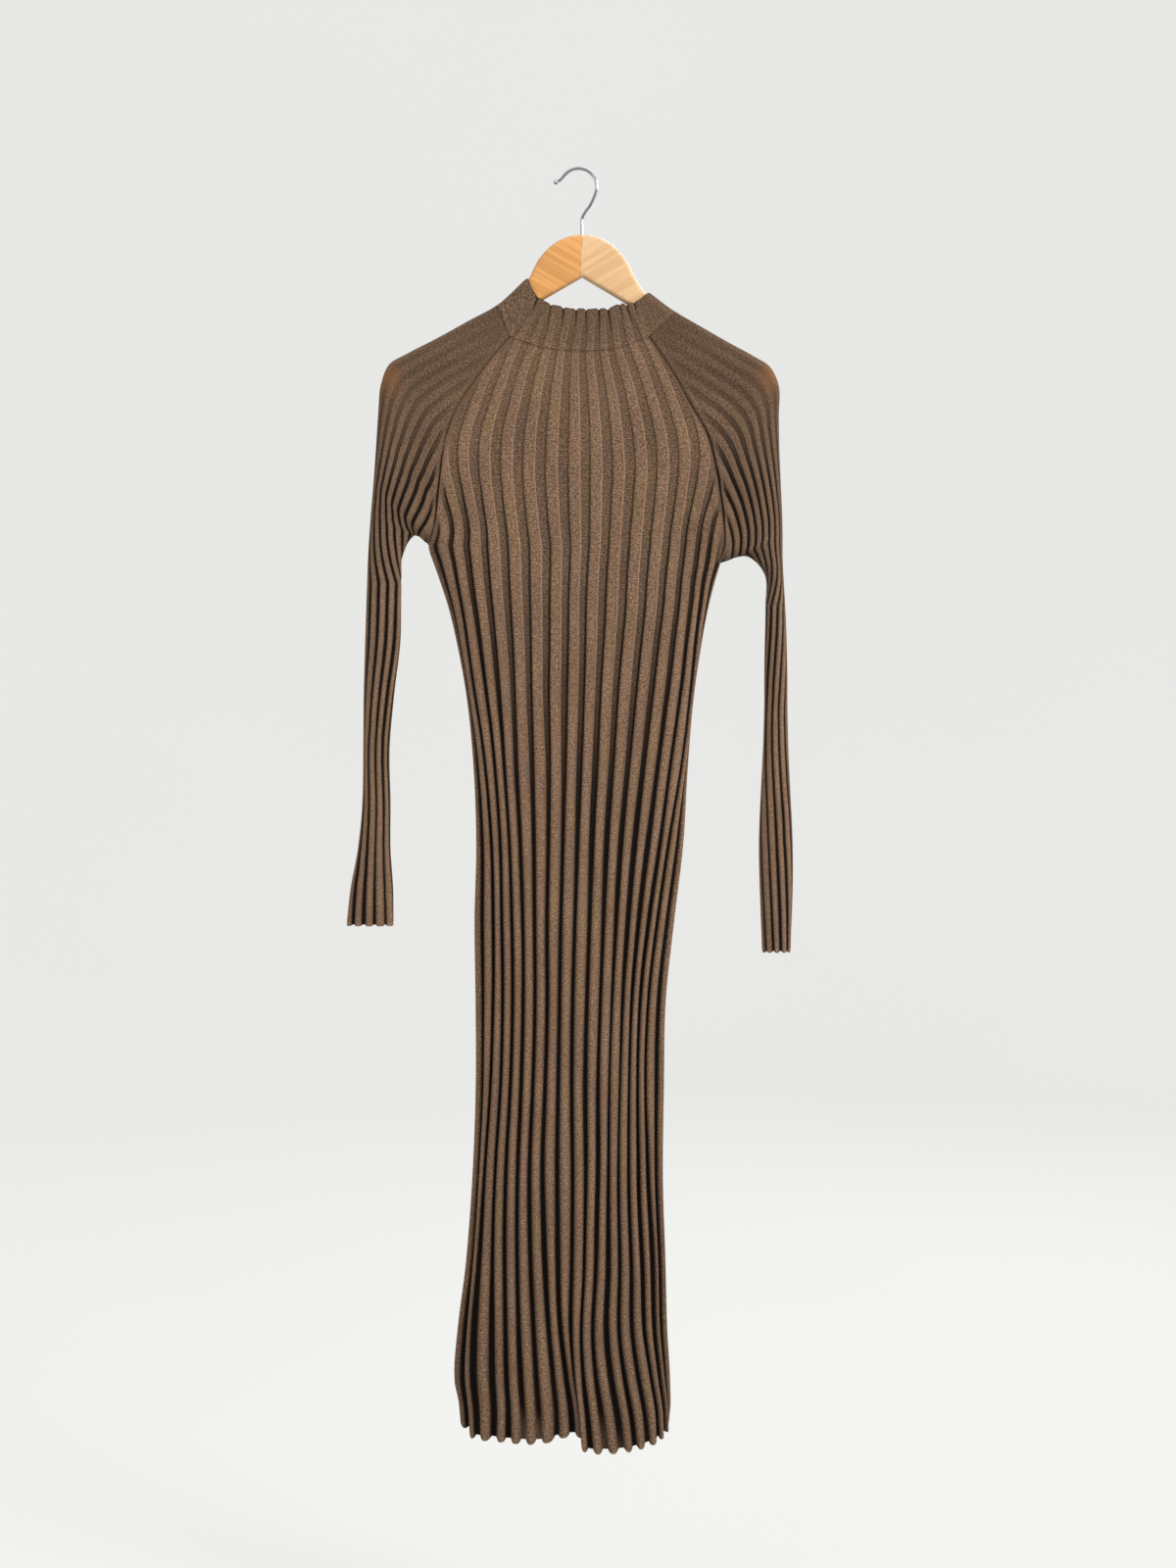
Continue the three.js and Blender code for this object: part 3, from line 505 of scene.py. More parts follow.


# Soft creases, given one by one: where each starts and ends, its width, how far it
# stands out (a trough is negative) and the face it is on (0 for both).
CREASES = {
    "body": [
        (-150, -372, -96, -352, 9, 1.2, FRONT),
        (-158, -400, -112, -398, 7, -1.3, FRONT),
        (146, -396, 92, -372, 10, 1.5, FRONT),
        (150, -420, 104, -425, 7, -1.6, FRONT),
        (-120, -590, -70, -640, 16, -1.0, FRONT),
        (112, -560, 70, -620, 14, -1.2, FRONT),
        (150, -400, 98, -384, 10, 1.4, BACK),
        (-152, -384, -104, -370, 9, 1.3, BACK),
        (-60, -560, 20, -590, 20, -1.2, BACK),
        (108, -600, 60, -640, 15, -1.1, BACK),
    ],
    "left": [
        (-172, -402, -214, -330, 8, 2.0, FRONT),
        (-182, -398, -224, -372, 6, -1.8, FRONT),
        (-165, -404, -186, -340, 6, -1.2, FRONT),
        (-170, -396, -212, -342, 9, 1.6, BACK),
        (-200, -640, -236, -600, 8, -1.2, 0),
        (-208, -790, -256, -760, 9, -1.0, 0),
    ],
    "right": [
        (158, -428, 204, -350, 8, 2.2, FRONT),
        (170, -424, 216, -388, 6, -2.0, FRONT),
        (156, -414, 172, -350, 7, -1.6, FRONT),
        (164, -420, 208, -352, 9, 1.8, BACK),
        (198, -560, 224, -610, 8, -1.4, 0),
        (196, -760, 230, -720, 8, -1.2, 0),
    ],
}


def crease_lift(name, x, z, face):
    lift = np.zeros_like(x)
    for x0, z0, x1, z1, width, height, on_face in CREASES[name]:
        if on_face not in (0, face):
            continue
        dx, dz = x1 - x0, z1 - z0
        length = math.hypot(dx, dz)
        along = ((x - x0) * dx + (z - z0) * dz) / length ** 2
        across = ((x - x0) * dz - (z - z0) * dx) / length
        reach = np.clip(1.2 - np.abs(2 * along - 1), 0, 1)
        lift += height * np.exp(-(across / width) ** 2) * smoothstep(0, 1, reach)
    return lift


def collar_seam_z(x):
    inner = slice(1, -1)
    return smooth_read(COLLAR.columns["seam_x"][inner], COLLAR.columns["seam_z"][inner], x)


def neck_dip(x, z):
    """The body's first rows follow the curve of the neck seam."""
    share = np.where(x < 0, x / RAGLAN.read("left", NECK_Z), x / RAGLAN.read("right", NECK_Z))
    drop = collar_seam_z(x) - NECK_Z - SEAM_GAP
    fade = smoothstep(-258, NECK_Z, z)
    return drop * fade * (1 - (1 - fade) * np.clip(share, 0, 1) ** 4)


def pleat_shift(rib, z):
    opening = smoothstep(PLEAT_TOP, PLEAT_BOTTOM, z)
    under = smoothstep(-3.5, -0.5, rib) * (1 - smoothstep(-0.5, 0.5, rib))
    over = smoothstep(-0.5, 0.5, rib) * (1 - smoothstep(0.5, 3.5, rib))
    return opening * (PLEAT_TUCK * under - PLEAT_LAP * over), opening * PLEAT_BACK * under


# What the cloth's points know for their colour: shade is painted shade below 0 and
# a painted highlight above it, gap places the two lines beside each rib, edge weighs
# the pale one, a painted highlight, and slit the dark one, painted shade; tint is the orange glow.
MARKS = ("shade", "gap", "edge", "slit", "tint")
INSIDE_SHADE = 0.3


def rib_marks(rib, level, profile, merge):
    # Painted highlight on each crest and painted shade in the grooves between the ribs.
    crest = RIB_LOOK.read("crest", level) * profile ** 4
    return {"shade": (crest - (1 - profile) * RIB_LOOK.read("groove", level)) * merge,
            "gap": gap_share(rib, level),
            "edge": RIB_LOOK.read("edge", level) * merge,
            "slit": RIB_LOOK.read("slit", level) * merge}


class Shell:
    """A closed wall from an outer and an inner grid of points.

    From the row join on, the first and the last columns are one, as on a tube.
    """

    def __init__(self, outer, inner, pattern, marks, join=None):
        rows, columns = outer.shape[:2]
        slots = np.arange(2 * rows * columns).reshape(2, rows, columns)
        vertex = slots.copy()
        if join is not None:
            vertex[:, join:, -1] = vertex[:, join:, 0]
        out, under = slots
        open_rows = rows if join is None else join + 1
        faces = [self.quads(out), self.quads(under)[:, ::-1]]
        faces += [self.strip(under[0], out[0]), self.strip(out[-1], under[-1])]
        faces += [self.strip(out[:open_rows, 0], under[:open_rows, 0])]
        faces += [self.strip(under[:open_rows, -1], out[:open_rows, -1])]
        self.slot_faces = np.vstack(faces)
        kept, place = np.unique(vertex, return_inverse=True)
        self.vertex_of = place.ravel()
        self.points = np.concatenate([outer.reshape(-1, 3), inner.reshape(-1, 3)])[kept]
        self.kept = kept
        self.pattern = np.tile(pattern.reshape(-1, 2), (2, 1))
        self.marks = {}
        for key in MARKS:
            mark = np.broadcast_to(marks.get(key, 0.0), (rows, columns)).ravel()
            inside = np.minimum(mark, 0) - INSIDE_SHADE if key == "shade" else 0 * mark
            self.marks[key] = np.concatenate([mark, inside])

    @staticmethod
    def quads(grid):
        parts = (grid[:-1, :-1], grid[1:, :-1], grid[1:, 1:], grid[:-1, 1:])
        return np.stack(parts, axis=-1).reshape(-1, 4)

    @staticmethod
    def strip(first, second):
        return np.stack([first[:-1], first[1:], second[1:], second[:-1]], axis=-1)

    def mesh(self, name):
        faces = self.vertex_of[self.slot_faces]
        a, b, c, d = (self.points[faces[:, k]] for k in range(4))
        if (np.cross(b - a, c - a) * a).sum() + (np.cross(c - a, d - a) * a).sum() < 0:
            faces, self.slot_faces = faces[:, ::-1], self.slot_faces[:, ::-1]
        mesh = bpy.data.meshes.new(name)
        place = (self.points + (HANGER_X, 0, 0)) * MM
        mesh.from_pydata(place.tolist(), [], faces.tolist())
        corners = mesh.uv_layers.new(name="cloth").data
        corners.foreach_set("uv", self.pattern[self.slot_faces.ravel()].ravel())
        for key, values in self.marks.items():
            layer = mesh.attributes.new(key, "FLOAT", "POINT")
            layer.data.foreach_set("value", values[self.kept])
        mesh.validate()
        mesh.shade_smooth()
        return mesh


WALES, COURSE = 13, 1.35


def cloth_pattern(rib, outer):
    """Stitch counts across and down the cloth, for its knit and its yarn."""
    length = np.linalg.norm(np.diff(outer, axis=0), axis=-1)
    down = np.vstack([np.zeros(outer.shape[1]), np.cumsum(length, axis=0)])
    down = np.broadcast_to(down.mean(axis=1, keepdims=True), down.shape)
    return np.stack([rib * WALES, down / COURSE], axis=-1)


def finish_edge(outer, inner, row, amount=0.3):
    """Draws the wall's two skins together at an open edge, which rounds it."""
    a, b = outer[row].copy(), inner[row].copy()
    outer[row], inner[row] = a + (b - a) * amount, b + (a - b) * amount


# The rows and columns of the body's grids: close together at the neck and hem.
YOKE_Z, HEM_START = -258, -1330
YOKE_ROWS, BODY_ROWS, HEM_ROWS = 20, 160, 25
RIB_COLUMNS = 12
# How far the ribs wander, and how the relief fades into the seams and folds.
LEAN, LEAN_FROM, LEAN_SPREAD, LEAN_SEED = 0.9, (-420, -900), 20, 3
SEAM_RELIEF, SEAM_FADE = 0.2, 9
SOFTNESS, SOFT_SEED, SOFT_FADE, FOLD_FADE = 0.5, 11, 60, 25
LOWEST = -1419
# Below the underarm the side ribs are drawn in by their own relief.
DRAWN_IN = (5, -20)
# How much each rib narrows inside, so that the wall keeps its thickness.
BODY_INSET, SLEEVE_INSET = 0.08, 0.06
# Near the hem some recesses lie open to the light, and the side ribs are shaded.
FLOOR_FROM, FLOOR_LIGHT, FLOOR_STEP, FLOOR_SEED, FLOOR_RIBS = (-1330, -1390), 0.6, 53, 8, (-0.2, 0.8)
SIDE_SHADES = ((-6.9, -7.4, -1180, -1280, 0.3), (7.4, 7.9, -850, -930, 0.3))


def body_shell(face, wall):
    z0 = np.concatenate([np.linspace(NECK_Z, YOKE_Z, YOKE_ROWS)[:-1],
                         np.linspace(YOKE_Z, HEM_START, BODY_ROWS)[:-1],
                         np.linspace(HEM_START, HEM_Z, HEM_ROWS)])
    start, end = (rib_at_raglan(side, z0, face) for side in ("left", "right"))
    rib = rib_columns(start, end, RIB_COLUMNS * RIBS)
    level = np.broadcast_to(z0[:, None], rib.shape)
    x = body_x(rib, level, face)
    lean = LEAN * smoothstep(*LEAN_FROM, level) * (1 - np.abs(2 * rib / RIBS) ** 2)
    x = x + lean * waves(rib * LEAN_SPREAD, level, LEAN_SEED + face)
    if face == FRONT:
        x = x + groove_shift(rib, level)
    below = np.where(rib < 0, smoothstep(*DRAWN_IN, level - UNDERARM["left"]),
                     smoothstep(*DRAWN_IN, level - UNDERARM["right"]))
    x -= np.sign(rib) * below * relief_at(level, "body") * np.abs(2 * rib / RIBS) ** 3
    for column, side, way in ((0, "left", 1), (-1, "right", -1)):
        x[:, column] += np.where(z0 > UNDERARM[side], way * SEAM_GAP / 2, 0)
    ending = np.clip((HEM_START - level) / HEM_STRETCH, 0, 1)
    z = level + neck_dip(x, level)
    z += ending * (HEM.read("front" if face == FRONT else "back", rib) - HEM_Z)
    look = look_level(rib, level)
    profile = rib_profile(rib, look)
    z += HEM_SCALLOP * ending ** 4 * (1 - profile)
    base, normal = cloth_points(x, np.maximum(z, LOWEST), face, "body")
    base[..., 2] += np.minimum(z - LOWEST, 0)

    from_left = np.where(level > UNDERARM["left"], x - RAGLAN.read("left", level), 99)
    from_right = np.where(level > UNDERARM["right"], RAGLAN.read("right", level) - x, 99)
    seam = np.minimum(from_left, from_right)
    merge = SEAM_RELIEF + (1 - SEAM_RELIEF) * smoothstep(0, SEAM_FADE, seam)
    relief = relief_at(look, "body") * merge
    soft = SOFTNESS * waves(x, z, SOFT_SEED + face) * smoothstep(0, SOFT_FADE, seam)
    soft += crease_lift("body", x, z, face)
    soft *= smoothstep(0, FOLD_FADE, edge_distance(x, z)[0])
    outer = base + normal * (relief * profile + soft)[..., None]
    under = rib_profile(rib, look, BODY_INSET)
    inner = base + normal * (relief * under - wall + soft)[..., None]
    if face == FRONT:
        across, back = pleat_shift(rib, level)
        for skin in (outer, inner):
            skin[..., 0] += across
            skin[..., 1] += back
    for column, side in ((0, "left"), (-1, "right")):
        below = z0 <= UNDERARM[side]
        outer[below, column, 1] = inner[below, column, 1] = face * SEAM_GAP / 2
    finish_edge(outer, inner, -1)
    marks = rib_marks(rib, look, profile, merge)
    floor = smoothstep(*FLOOR_RIBS, waves(np.round(rib) * FLOOR_STEP, level, FLOOR_SEED))
    marks["shade"] *= 1 - FLOOR_LIGHT * smoothstep(*FLOOR_FROM, level) * floor * (1 - profile)
    for rib0, rib1, z0_shade, z1_shade, depth in SIDE_SHADES:
        marks["shade"] -= depth * smoothstep(rib0, rib1, rib) * smoothstep(z0_shade, z1_shade, level)
    marks["shade"] -= seam_shade(from_left, "left") + seam_shade(from_right, "right")
    return Shell(outer, inner, cloth_pattern(rib, outer), marks)


SEAM_SHADE_DARKNESS = {"left": 0.35, "right": 0.7, "neck": 0.0}
SEAM_LINE, RIDGE_LIGHT, RIDGE_PLACE, RIDGE_WIDTH = 1.3, 0.3, 3.2, 1.4
WOOD_TIPS = ((-214, -228), (208, -228))
GLOW_REACH, GLOW_HEIGHT = 13, 1.3


def seam_shade(away, name):
    """Painted shade in the seam's gap and a painted highlight on the ridge beside it."""
    line = SEAM_SHADE_DARKNESS[name] * np.exp(-(away / SEAM_LINE) ** 2)
    return line - RIDGE_LIGHT * np.exp(-((away - RIDGE_PLACE) / RIDGE_WIDTH) ** 2)


def shoulder_tint(points):
    """Where the orange wood shows faintly through the cloth at its two tips."""
    tint = np.zeros(points.shape[:-1])
    for x, z in WOOD_TIPS:
        away = np.hypot(points[..., 0] - x, (points[..., 2] - z) / GLOW_HEIGHT)
        tint = np.maximum(tint, np.exp(-(away / GLOW_REACH) ** 2))
    return tint


# How many ribs a sleeve's cloth has turned round, at each height.
TWIST = {
    "left": Table("z turn", [(-430, 0), (-520, 0.1), (-640, 0.5), (-720, 0.3), (-830, 0)]),
    "right": Table("z turn", [(-432, 0), (-500, -0.4), (-600, -1.2), (-720, -0.6), (-860, 0)]),
}
SLEEVE_COLUMNS = 100
SLEEVE_LEAD = 260
SLEEVE_SHADOW = {"left": 0.3, "right": 0.36}
SHADOW_ENDS, LEAD_FROM, PLAIN_TO, PLAINNESS = (-470, -350), (-230, -400), (-230, -330), 0.35
SLEEVE_CROWDING = 0.35
SLEEVE_ROW, SLEEVE_STEPS, SLEEVE_PITCH = 4.5, 121, 10
SLEEVE_SOFTNESS, SLEEVE_SEED, SLEEVE_FADE = 0.4, 21, 12
NECK_RELIEF, NECK_FADE = 0.3, 3
SLEEVE_HOLLOW = 0.8
CUFF_SCALLOP = 2.0

# How many ribs each face of a sleeve carries, by rows counted from the neck to
# the underarm and on from it: they start at the raglan and pass out over the fold.
UNDERARM_KEY = 8.5
SPAN_ABOVE = ((0, 3), (2, 5.3), (4, 7.6), (6, 9.4), (UNDERARM_KEY, 10.5))
SPAN_BELOW = ((0, 10.5), (1, 8), (3, SLEEVE_RIBS))


def sleeve_span(side, rows):
    """The ribs on one face of a sleeve, and how they crowd to its outer fold."""
    join = UNDERARM_ROW[side]
    above, below = np.array(SPAN_ABOVE), np.array(SPAN_BELOW)
    span = np.where(rows < join, np.interp(rows * UNDERARM_KEY / join, *above.T),
                    np.interp(rows - join, *below.T))
    crowding = 1 + SLEEVE_CROWDING * smoothstep(4, join, rows) * smoothstep(join + 3, join + 0.5, rows)
    return span, crowding


def sleeve_half(side, rows, face):
    """One face of a sleeve, from its outer fold to its raglan or inner fold."""
    outer, inner = outer_fold(side, rows), inner_line(side, rows)
    t = (1 - np.cos(np.linspace(0, np.pi, SLEEVE_STEPS))) / 2
    line = outer[:, None] + (inner - outer)[:, None] * t[:, None]
    half = np.linalg.norm(outer - inner, axis=1) / 2
    limit = np.where(rows >= UNDERARM_ROW[side], np.minimum(half, SLEEVE_ROUND), SLEEVE_ROUND)
    base, normal = cloth_points(line[..., 0], line[..., 1], face, "sleeve", limit[:, None])
    steps = np.linalg.norm(np.diff(base, axis=1), axis=-1)
    reach = np.hstack([np.zeros((len(rows), 1)), np.cumsum(steps, axis=1)])
    span, crowding = sleeve_span(side, rows)
    ribs = rib_columns(np.zeros(len(rows)), span, SLEEVE_COLUMNS)
    made = np.empty((2,) + ribs.shape + (3,))
    for r, path in enumerate(reach):
        wanted = (ribs[r] / span[r]) ** crowding[r] * path[-1]
        for grid, source in zip(made, (base, normal)):
            for k in range(3):
                grid[r, :, k] = np.interp(wanted, path, source[r, :, k])
    base, normal = made
    base[:, 1:-1, 1] = face * np.maximum(np.abs(base[:, 1:-1, 1]), SLEEVE_HOLLOW)
    return ribs, base, normal / np.linalg.norm(normal, axis=-1, keepdims=True)


def sleeve_shell(side, wall):
    last, join = len(SLEEVE[side]) - 1, UNDERARM_ROW[side]
    lengths = chord_lengths(SLEEVE[side][:, :2])
    counts = [max(4, round(length / SLEEVE_ROW)) for length in np.diff(lengths)]
    stops = [np.linspace(i, i + 1, count + 1)[:-1] for i, count in enumerate(counts)]
    rows = np.concatenate(stops + [[last]])
    closed = int(np.searchsorted(rows, join))
    ribs, back, back_normal = sleeve_half(side, rows, BACK)
    _, front, front_normal = sleeve_half(side, rows, FRONT)
    base = np.concatenate([back[:, ::-1], front[:, 1:]], axis=1)
    normal = np.concatenate([back_normal[:, ::-1], front_normal[:, 1:]], axis=1)
    base[closed:, 0] = base[closed:, -1]
    normal[closed:, 0] = normal[closed:, -1]
    rib = np.concatenate([-ribs[:, ::-1], ribs[:, 1:]], axis=1)
    x, z = base[..., 0], base[..., 2]
    turned = rib + np.where(rows[:, None] > join, TWIST[side].read("turn", z), 0)
    span = sleeve_span(side, rows)[0][:, None]
    from_seam = (span - np.abs(rib)) * SLEEVE_PITCH
    merge = SEAM_RELIEF + (1 - SEAM_RELIEF) * smoothstep(0, SEAM_FADE, from_seam)
    merge = np.where(rows[:, None] < join, merge, 1)
    merge = merge * (NECK_RELIEF + (1 - NECK_RELIEF) * smoothstep(0, NECK_FADE, rows)[:, None])
    relief = relief_at(z, "sleeve") * merge
    look = z - SLEEVE_LEAD * smoothstep(*LEAD_FROM, z)
    profile = rib_profile(turned, look)
    face = np.where(rib < 0, BACK, FRONT)
    soft = np.where(face == BACK, crease_lift(side, x, z, BACK), crease_lift(side, x, z, FRONT))
    soft = soft + SLEEVE_SOFTNESS * waves(x, z, SLEEVE_SEED)
    soft = soft * smoothstep(0, SLEEVE_FADE, edge_distance(x, z)[0])
    soft[rows >= join] *= smoothstep(0, SLEEVE_PITCH, from_seam[rows >= join])
    outer = base + normal * (relief * profile + soft)[..., None]
    under = rib_profile(turned, look, SLEEVE_INSET)
    inner = base + normal * (relief * under - wall + soft)[..., None]
    inward = (-1 if side == "left" else 1) * SEAM_GAP
    for skin in (outer, inner):
        skin[:closed, 0, 0] += inward / 2
        skin[:closed, -1, 0] += inward / 2
        skin[0] += (inward * 0.75, 0, -SEAM_GAP * 0.75)
        skin[-1, :, 2] -= CUFF_SCALLOP * (profile[-1] - 0.5)
    finish_edge(outer, inner, -1)
    marks = rib_marks(turned, look, profile, merge)
    open_part = (rows < join)[:, None]
    marks["shade"] -= np.where(open_part, seam_shade(from_seam, side), 0)
    plain = PLAINNESS + (1 - PLAINNESS) * smoothstep(*PLAIN_TO, z)
    for key in ("shade", "edge", "slit"):
        marks[key] = marks[key] * plain
    marks["shade"] = marks["shade"] - SLEEVE_SHADOW[side] * smoothstep(*SHADOW_ENDS, z)
    marks["tint"] = shoulder_tint(base)
    return Shell(outer, inner, cloth_pattern(turned, outer), marks, join=closed)


# The tucks where the collar's edge is drawn together, with painted shade along
# them: their place at the edge and 30 mm below it, their width and their depth.
NECK_TUCKS = [
    (-48.4, -62.0, 1.1, 1.3),
    (-34.0, -40.0, 1.0, 0.7),
    (-20.4, -23.0, 1.1, 1.6),
    (-6.5, -7.5, 1.0, 1.8),
    (4.3, 4.0, 0.9, 1.4),
    (18.3, 19.0, 1.2, 1.3),
    (28.0, 33.3, 1.1, 1.8),
    (41.0, 50.0, 0.9, 0.8),
    (48.4, 58.0, 1.1, 1.7),
    (57.0, 63.4, 1.0, 1.2),
]
NECK_RIB = 15.5
CORNER_COLUMNS, COLLAR_COLUMNS, COLLAR_ROWS = 22, 181, 25
# How soon the tucks fade, how their lines fan out and how wavy the edge is.
TUCK_FADE, TUCK_FAN, TUCK_SPREAD, TUCK_SHADE = 1.4, 1.3, 1.6, 0.85
EDGE_UP, EDGE_DOWN, EDGE_WAVES, EDGE_SPREAD, EDGE_SEED = 0.7, 1.8, 0.8, 6, 5
COLLAR_LAP = 0.25
BAND_RELIEF, BANDS_FROM, EDGE_ROLL, ROLL_REACH = 0.6, 0.6, 0.5, 0.04
COLLAR_HEIGHT = 40


def collar_shell(wall):
    side = COLLAR_CORNER * (np.linspace(0, 1, CORNER_COLUMNS) ** 1.3)[:-1]
    middle = np.linspace(COLLAR_CORNER, 1 - COLLAR_CORNER, COLLAR_COLUMNS)
    across = np.concatenate([side, middle, 1 - side[::-1]])
    loop = np.concatenate([across, across[-2::-1]])
    face = np.concatenate([np.full(len(across), FRONT), np.full(len(across) - 1, BACK)])
    down = np.linspace(0, 1, COLLAR_ROWS)[:, None]

    def straight(name):
        return np.interp(loop, COLLAR.key, COLLAR.columns[name])

    on_side = (loop < COLLAR_CORNER) | (loop > 1 - COLLAR_CORNER)
    seam_x = np.where(on_side, straight("seam_x"), COLLAR.read("seam_x", loop))
    seam_z = np.where(on_side, straight("seam_z"), collar_seam_z(seam_x))
    top_x, top_z = COLLAR.read("top_x", loop), COLLAR.read("top_z", loop)
    x = top_x + (seam_x - top_x) * down
    z = top_z + (seam_z - COLLAR_LAP - top_z) * down
    lift = np.zeros_like(x)
    dark = np.zeros_like(x)
    edge = np.zeros_like(loop)
    fade = np.clip(1 - down * TUCK_FADE, 0, 1)
    for start, end, width, depth in NECK_TUCKS:
        centre = start + (end - start) * down * TUCK_FAN
        shape = np.exp(-((x - centre) / width) ** 2)
        lift -= depth * shape * fade
        dark += shape * fade
        edge += np.exp(-((top_x - start) / (width * TUCK_SPREAD)) ** 2)
    edge = EDGE_UP - EDGE_DOWN * np.clip(edge, 0, 1)
    edge = edge + EDGE_WAVES * waves(top_x * EDGE_SPREAD, top_x, EDGE_SEED)
    z = z + edge * (1 - down) ** 3 * (1 - on_side)
    base = np.empty(x.shape + (3,))
    normal = np.empty_like(base)
    for way in (FRONT, BACK):
        here = face == way
        base[:, here], normal[:, here] = cloth_points(x[:, here], z[:, here], way, "body")
    rib = np.broadcast_to(seam_x / NECK_RIB, x.shape)
    profile = rib_profile(rib, z)
    banded = smoothstep(0, BANDS_FROM, down) * (1 - on_side)
    bands = BAND_RELIEF * profile * banded
    roll = EDGE_ROLL * np.exp(-down / ROLL_REACH)
    outer = base + normal * (lift + bands - roll)[..., None]
    inner = base + normal * (lift * 0.9 + bands * 0.5 - wall)[..., None]
    finish_edge(outer, inner, 0)
    marks = rib_marks(rib, z, profile, banded)
    # Painted shade along the tucks.
    marks["shade"] = marks["shade"] - TUCK_SHADE * dark
    marks["shade"] = marks["shade"] - seam_shade(COLLAR_HEIGHT * (1 - down), "neck")
    return Shell(outer, inner, cloth_pattern(rib, outer), marks, join=0)


class Wiring:
    """Adds nodes to a tree and joins their sockets."""

    def __init__(self, tree):
        self.tree = tree

    def add(self, kind, settings=None, **inputs):
        node = self.tree.nodes.new(kind)
        for key, value in (settings or {}).items():
            setattr(node, key, value)
        for key, value in inputs.items():
            self.put(node, key.replace("_", " "), value)
        return node

    def put(self, node, socket, value):
        place = node.inputs[socket]
        if isinstance(value, bpy.types.NodeSocket):
            self.tree.links.new(value, place)
        else:
            place.default_value = value

    def math(self, operation, *values):
        node = self.tree.nodes.new("ShaderNodeMath")
        node.operation = operation
        for index, value in enumerate(values):
            self.put(node, index, value)
        return node.outputs[0]

    def mix(self, factor, first, second, blend="MIX"):
        node = self.tree.nodes.new("ShaderNodeMix")
        node.data_type = "RGBA"
        node.blend_type = blend
        self.put(node, 0, factor)
        self.put(node, 6, first)
        self.put(node, 7, second)
        return node.outputs[2]

    def span(self, value, low, high, to_low=0.0, to_high=1.0):
        node = self.add("ShaderNodeMapRange", {"interpolation_type": "SMOOTHSTEP"})
        for index, given in enumerate((value, low, high, to_low, to_high)):
            self.put(node, index, given)
        return node.outputs[0]

    def noise(self, vector, scale, detail=2.0, roughness=0.5):
        node = self.add("ShaderNodeTexNoise", Vector=vector, Scale=scale, Detail=detail,
                        Roughness=roughness)
        return node.outputs["Fac"]

    def stretched(self, vector, scale, turn=(0.0, 0.0, 0.0)):
        node = self.add("ShaderNodeMapping", Vector=vector, Rotation=turn, Scale=scale)
        return node.outputs["Vector"]


def new_group(name, inputs, outputs):
    """An empty shader group with its sockets, as (kind, name, default)."""
    tree = bpy.data.node_groups.new(name, "ShaderNodeTree")
    for kind, label, default in inputs:
        socket = tree.interface.new_socket(label, in_out="INPUT", socket_type="NodeSocket" + kind)
        if default is not None:
            socket.default_value = default
    for kind, label in outputs:
        tree.interface.new_socket(label, in_out="OUTPUT", socket_type="NodeSocket" + kind)
    wiring = Wiring(tree)
    return wiring, wiring.add("NodeGroupInput").outputs, wiring.add("NodeGroupOutput")


def heather_group():
    """Blended yarn: pale and dark fibres in short flecks, and slow cloudiness."""
    w, given, out = new_group("Heather yarn", [
        ("Vector", "Cloth", None),
        ("Color", "Yarn", (0.2, 0.14, 0.1, 1)),
        ("Color", "Pale fibre", (0.4, 0.3, 0.24, 1)),
        ("Color", "Dark fibre", (0.08, 0.05, 0.04, 1)),
        ("Float", "Contrast", 1.0),
    ], [("Color", "Color"), ("Float", "Fleck")])
    fine = w.noise(w.stretched(given["Cloth"], (0.8, 0.95, 1)), 1.0, 2.0, 0.6)
    long = w.noise(w.stretched(given["Cloth"], (0.25, 0.6, 1)), 1.0, 2.0, 0.6)
    cloud = w.noise(w.stretched(given["Cloth"], (0.03, 0.02, 1)), 1.0, 2.0)
    hue = w.noise(w.stretched(given["Cloth"], (0.06, 0.012, 1)), 1.0, 1.0)
    fleck = w.math("ADD", w.math("MULTIPLY", fine, 0.75), w.math("MULTIPLY", long, 0.25))
    pale = w.math("MULTIPLY", w.span(fleck, 0.49, 0.63), given["Contrast"])
    dark = w.math("MULTIPLY", w.span(fleck, 0.49, 0.36), given["Contrast"])
    colour = w.mix(pale, given["Yarn"], given["Pale fibre"])
    colour = w.mix(dark, colour, given["Dark fibre"])
    colour = w.mix(w.span(hue, 0.45, 0.65), colour, (1.0, 1.02, 0.93, 1), "MULTIPLY")
    slow = w.span(cloud, 0.3, 0.7, 0.92, 1.08)
    toned = w.add("ShaderNodeVectorMath", {"operation": "SCALE"})
    w.put(toned, 0, colour)
    w.put(toned, "Scale", slow)
    w.put(out, "Color", toned.outputs[0])
    w.put(out, "Fleck", fleck)
    return w.tree


def stitch_group():
    """Height of plain knit: slanted legs that lean together in every wale."""
    w, given, out = new_group("Knit stitches", [("Vector", "Cloth", None)], [("Float", "Height")])
    split = w.add("ShaderNodeSeparateXYZ", Vector=given["Cloth"])
    wale = w.math("FRACT", split.outputs[0])
    leg = w.math("ABSOLUTE", w.math("SUBTRACT", wale, 0.5))
    slant = w.math("ADD", split.outputs[1], w.math("MULTIPLY", leg, 1.3))
    row = w.math("SINE", w.math("MULTIPLY", slant, 2 * math.pi))
    round_leg = w.math("SINE", w.math("MULTIPLY", leg, 2 * math.pi))
    height = w.math("MULTIPLY", w.math("ADD", w.math("MULTIPLY", row, 0.25), 0.75), round_leg)
    w.put(out, "Height", height)
    return w.tree


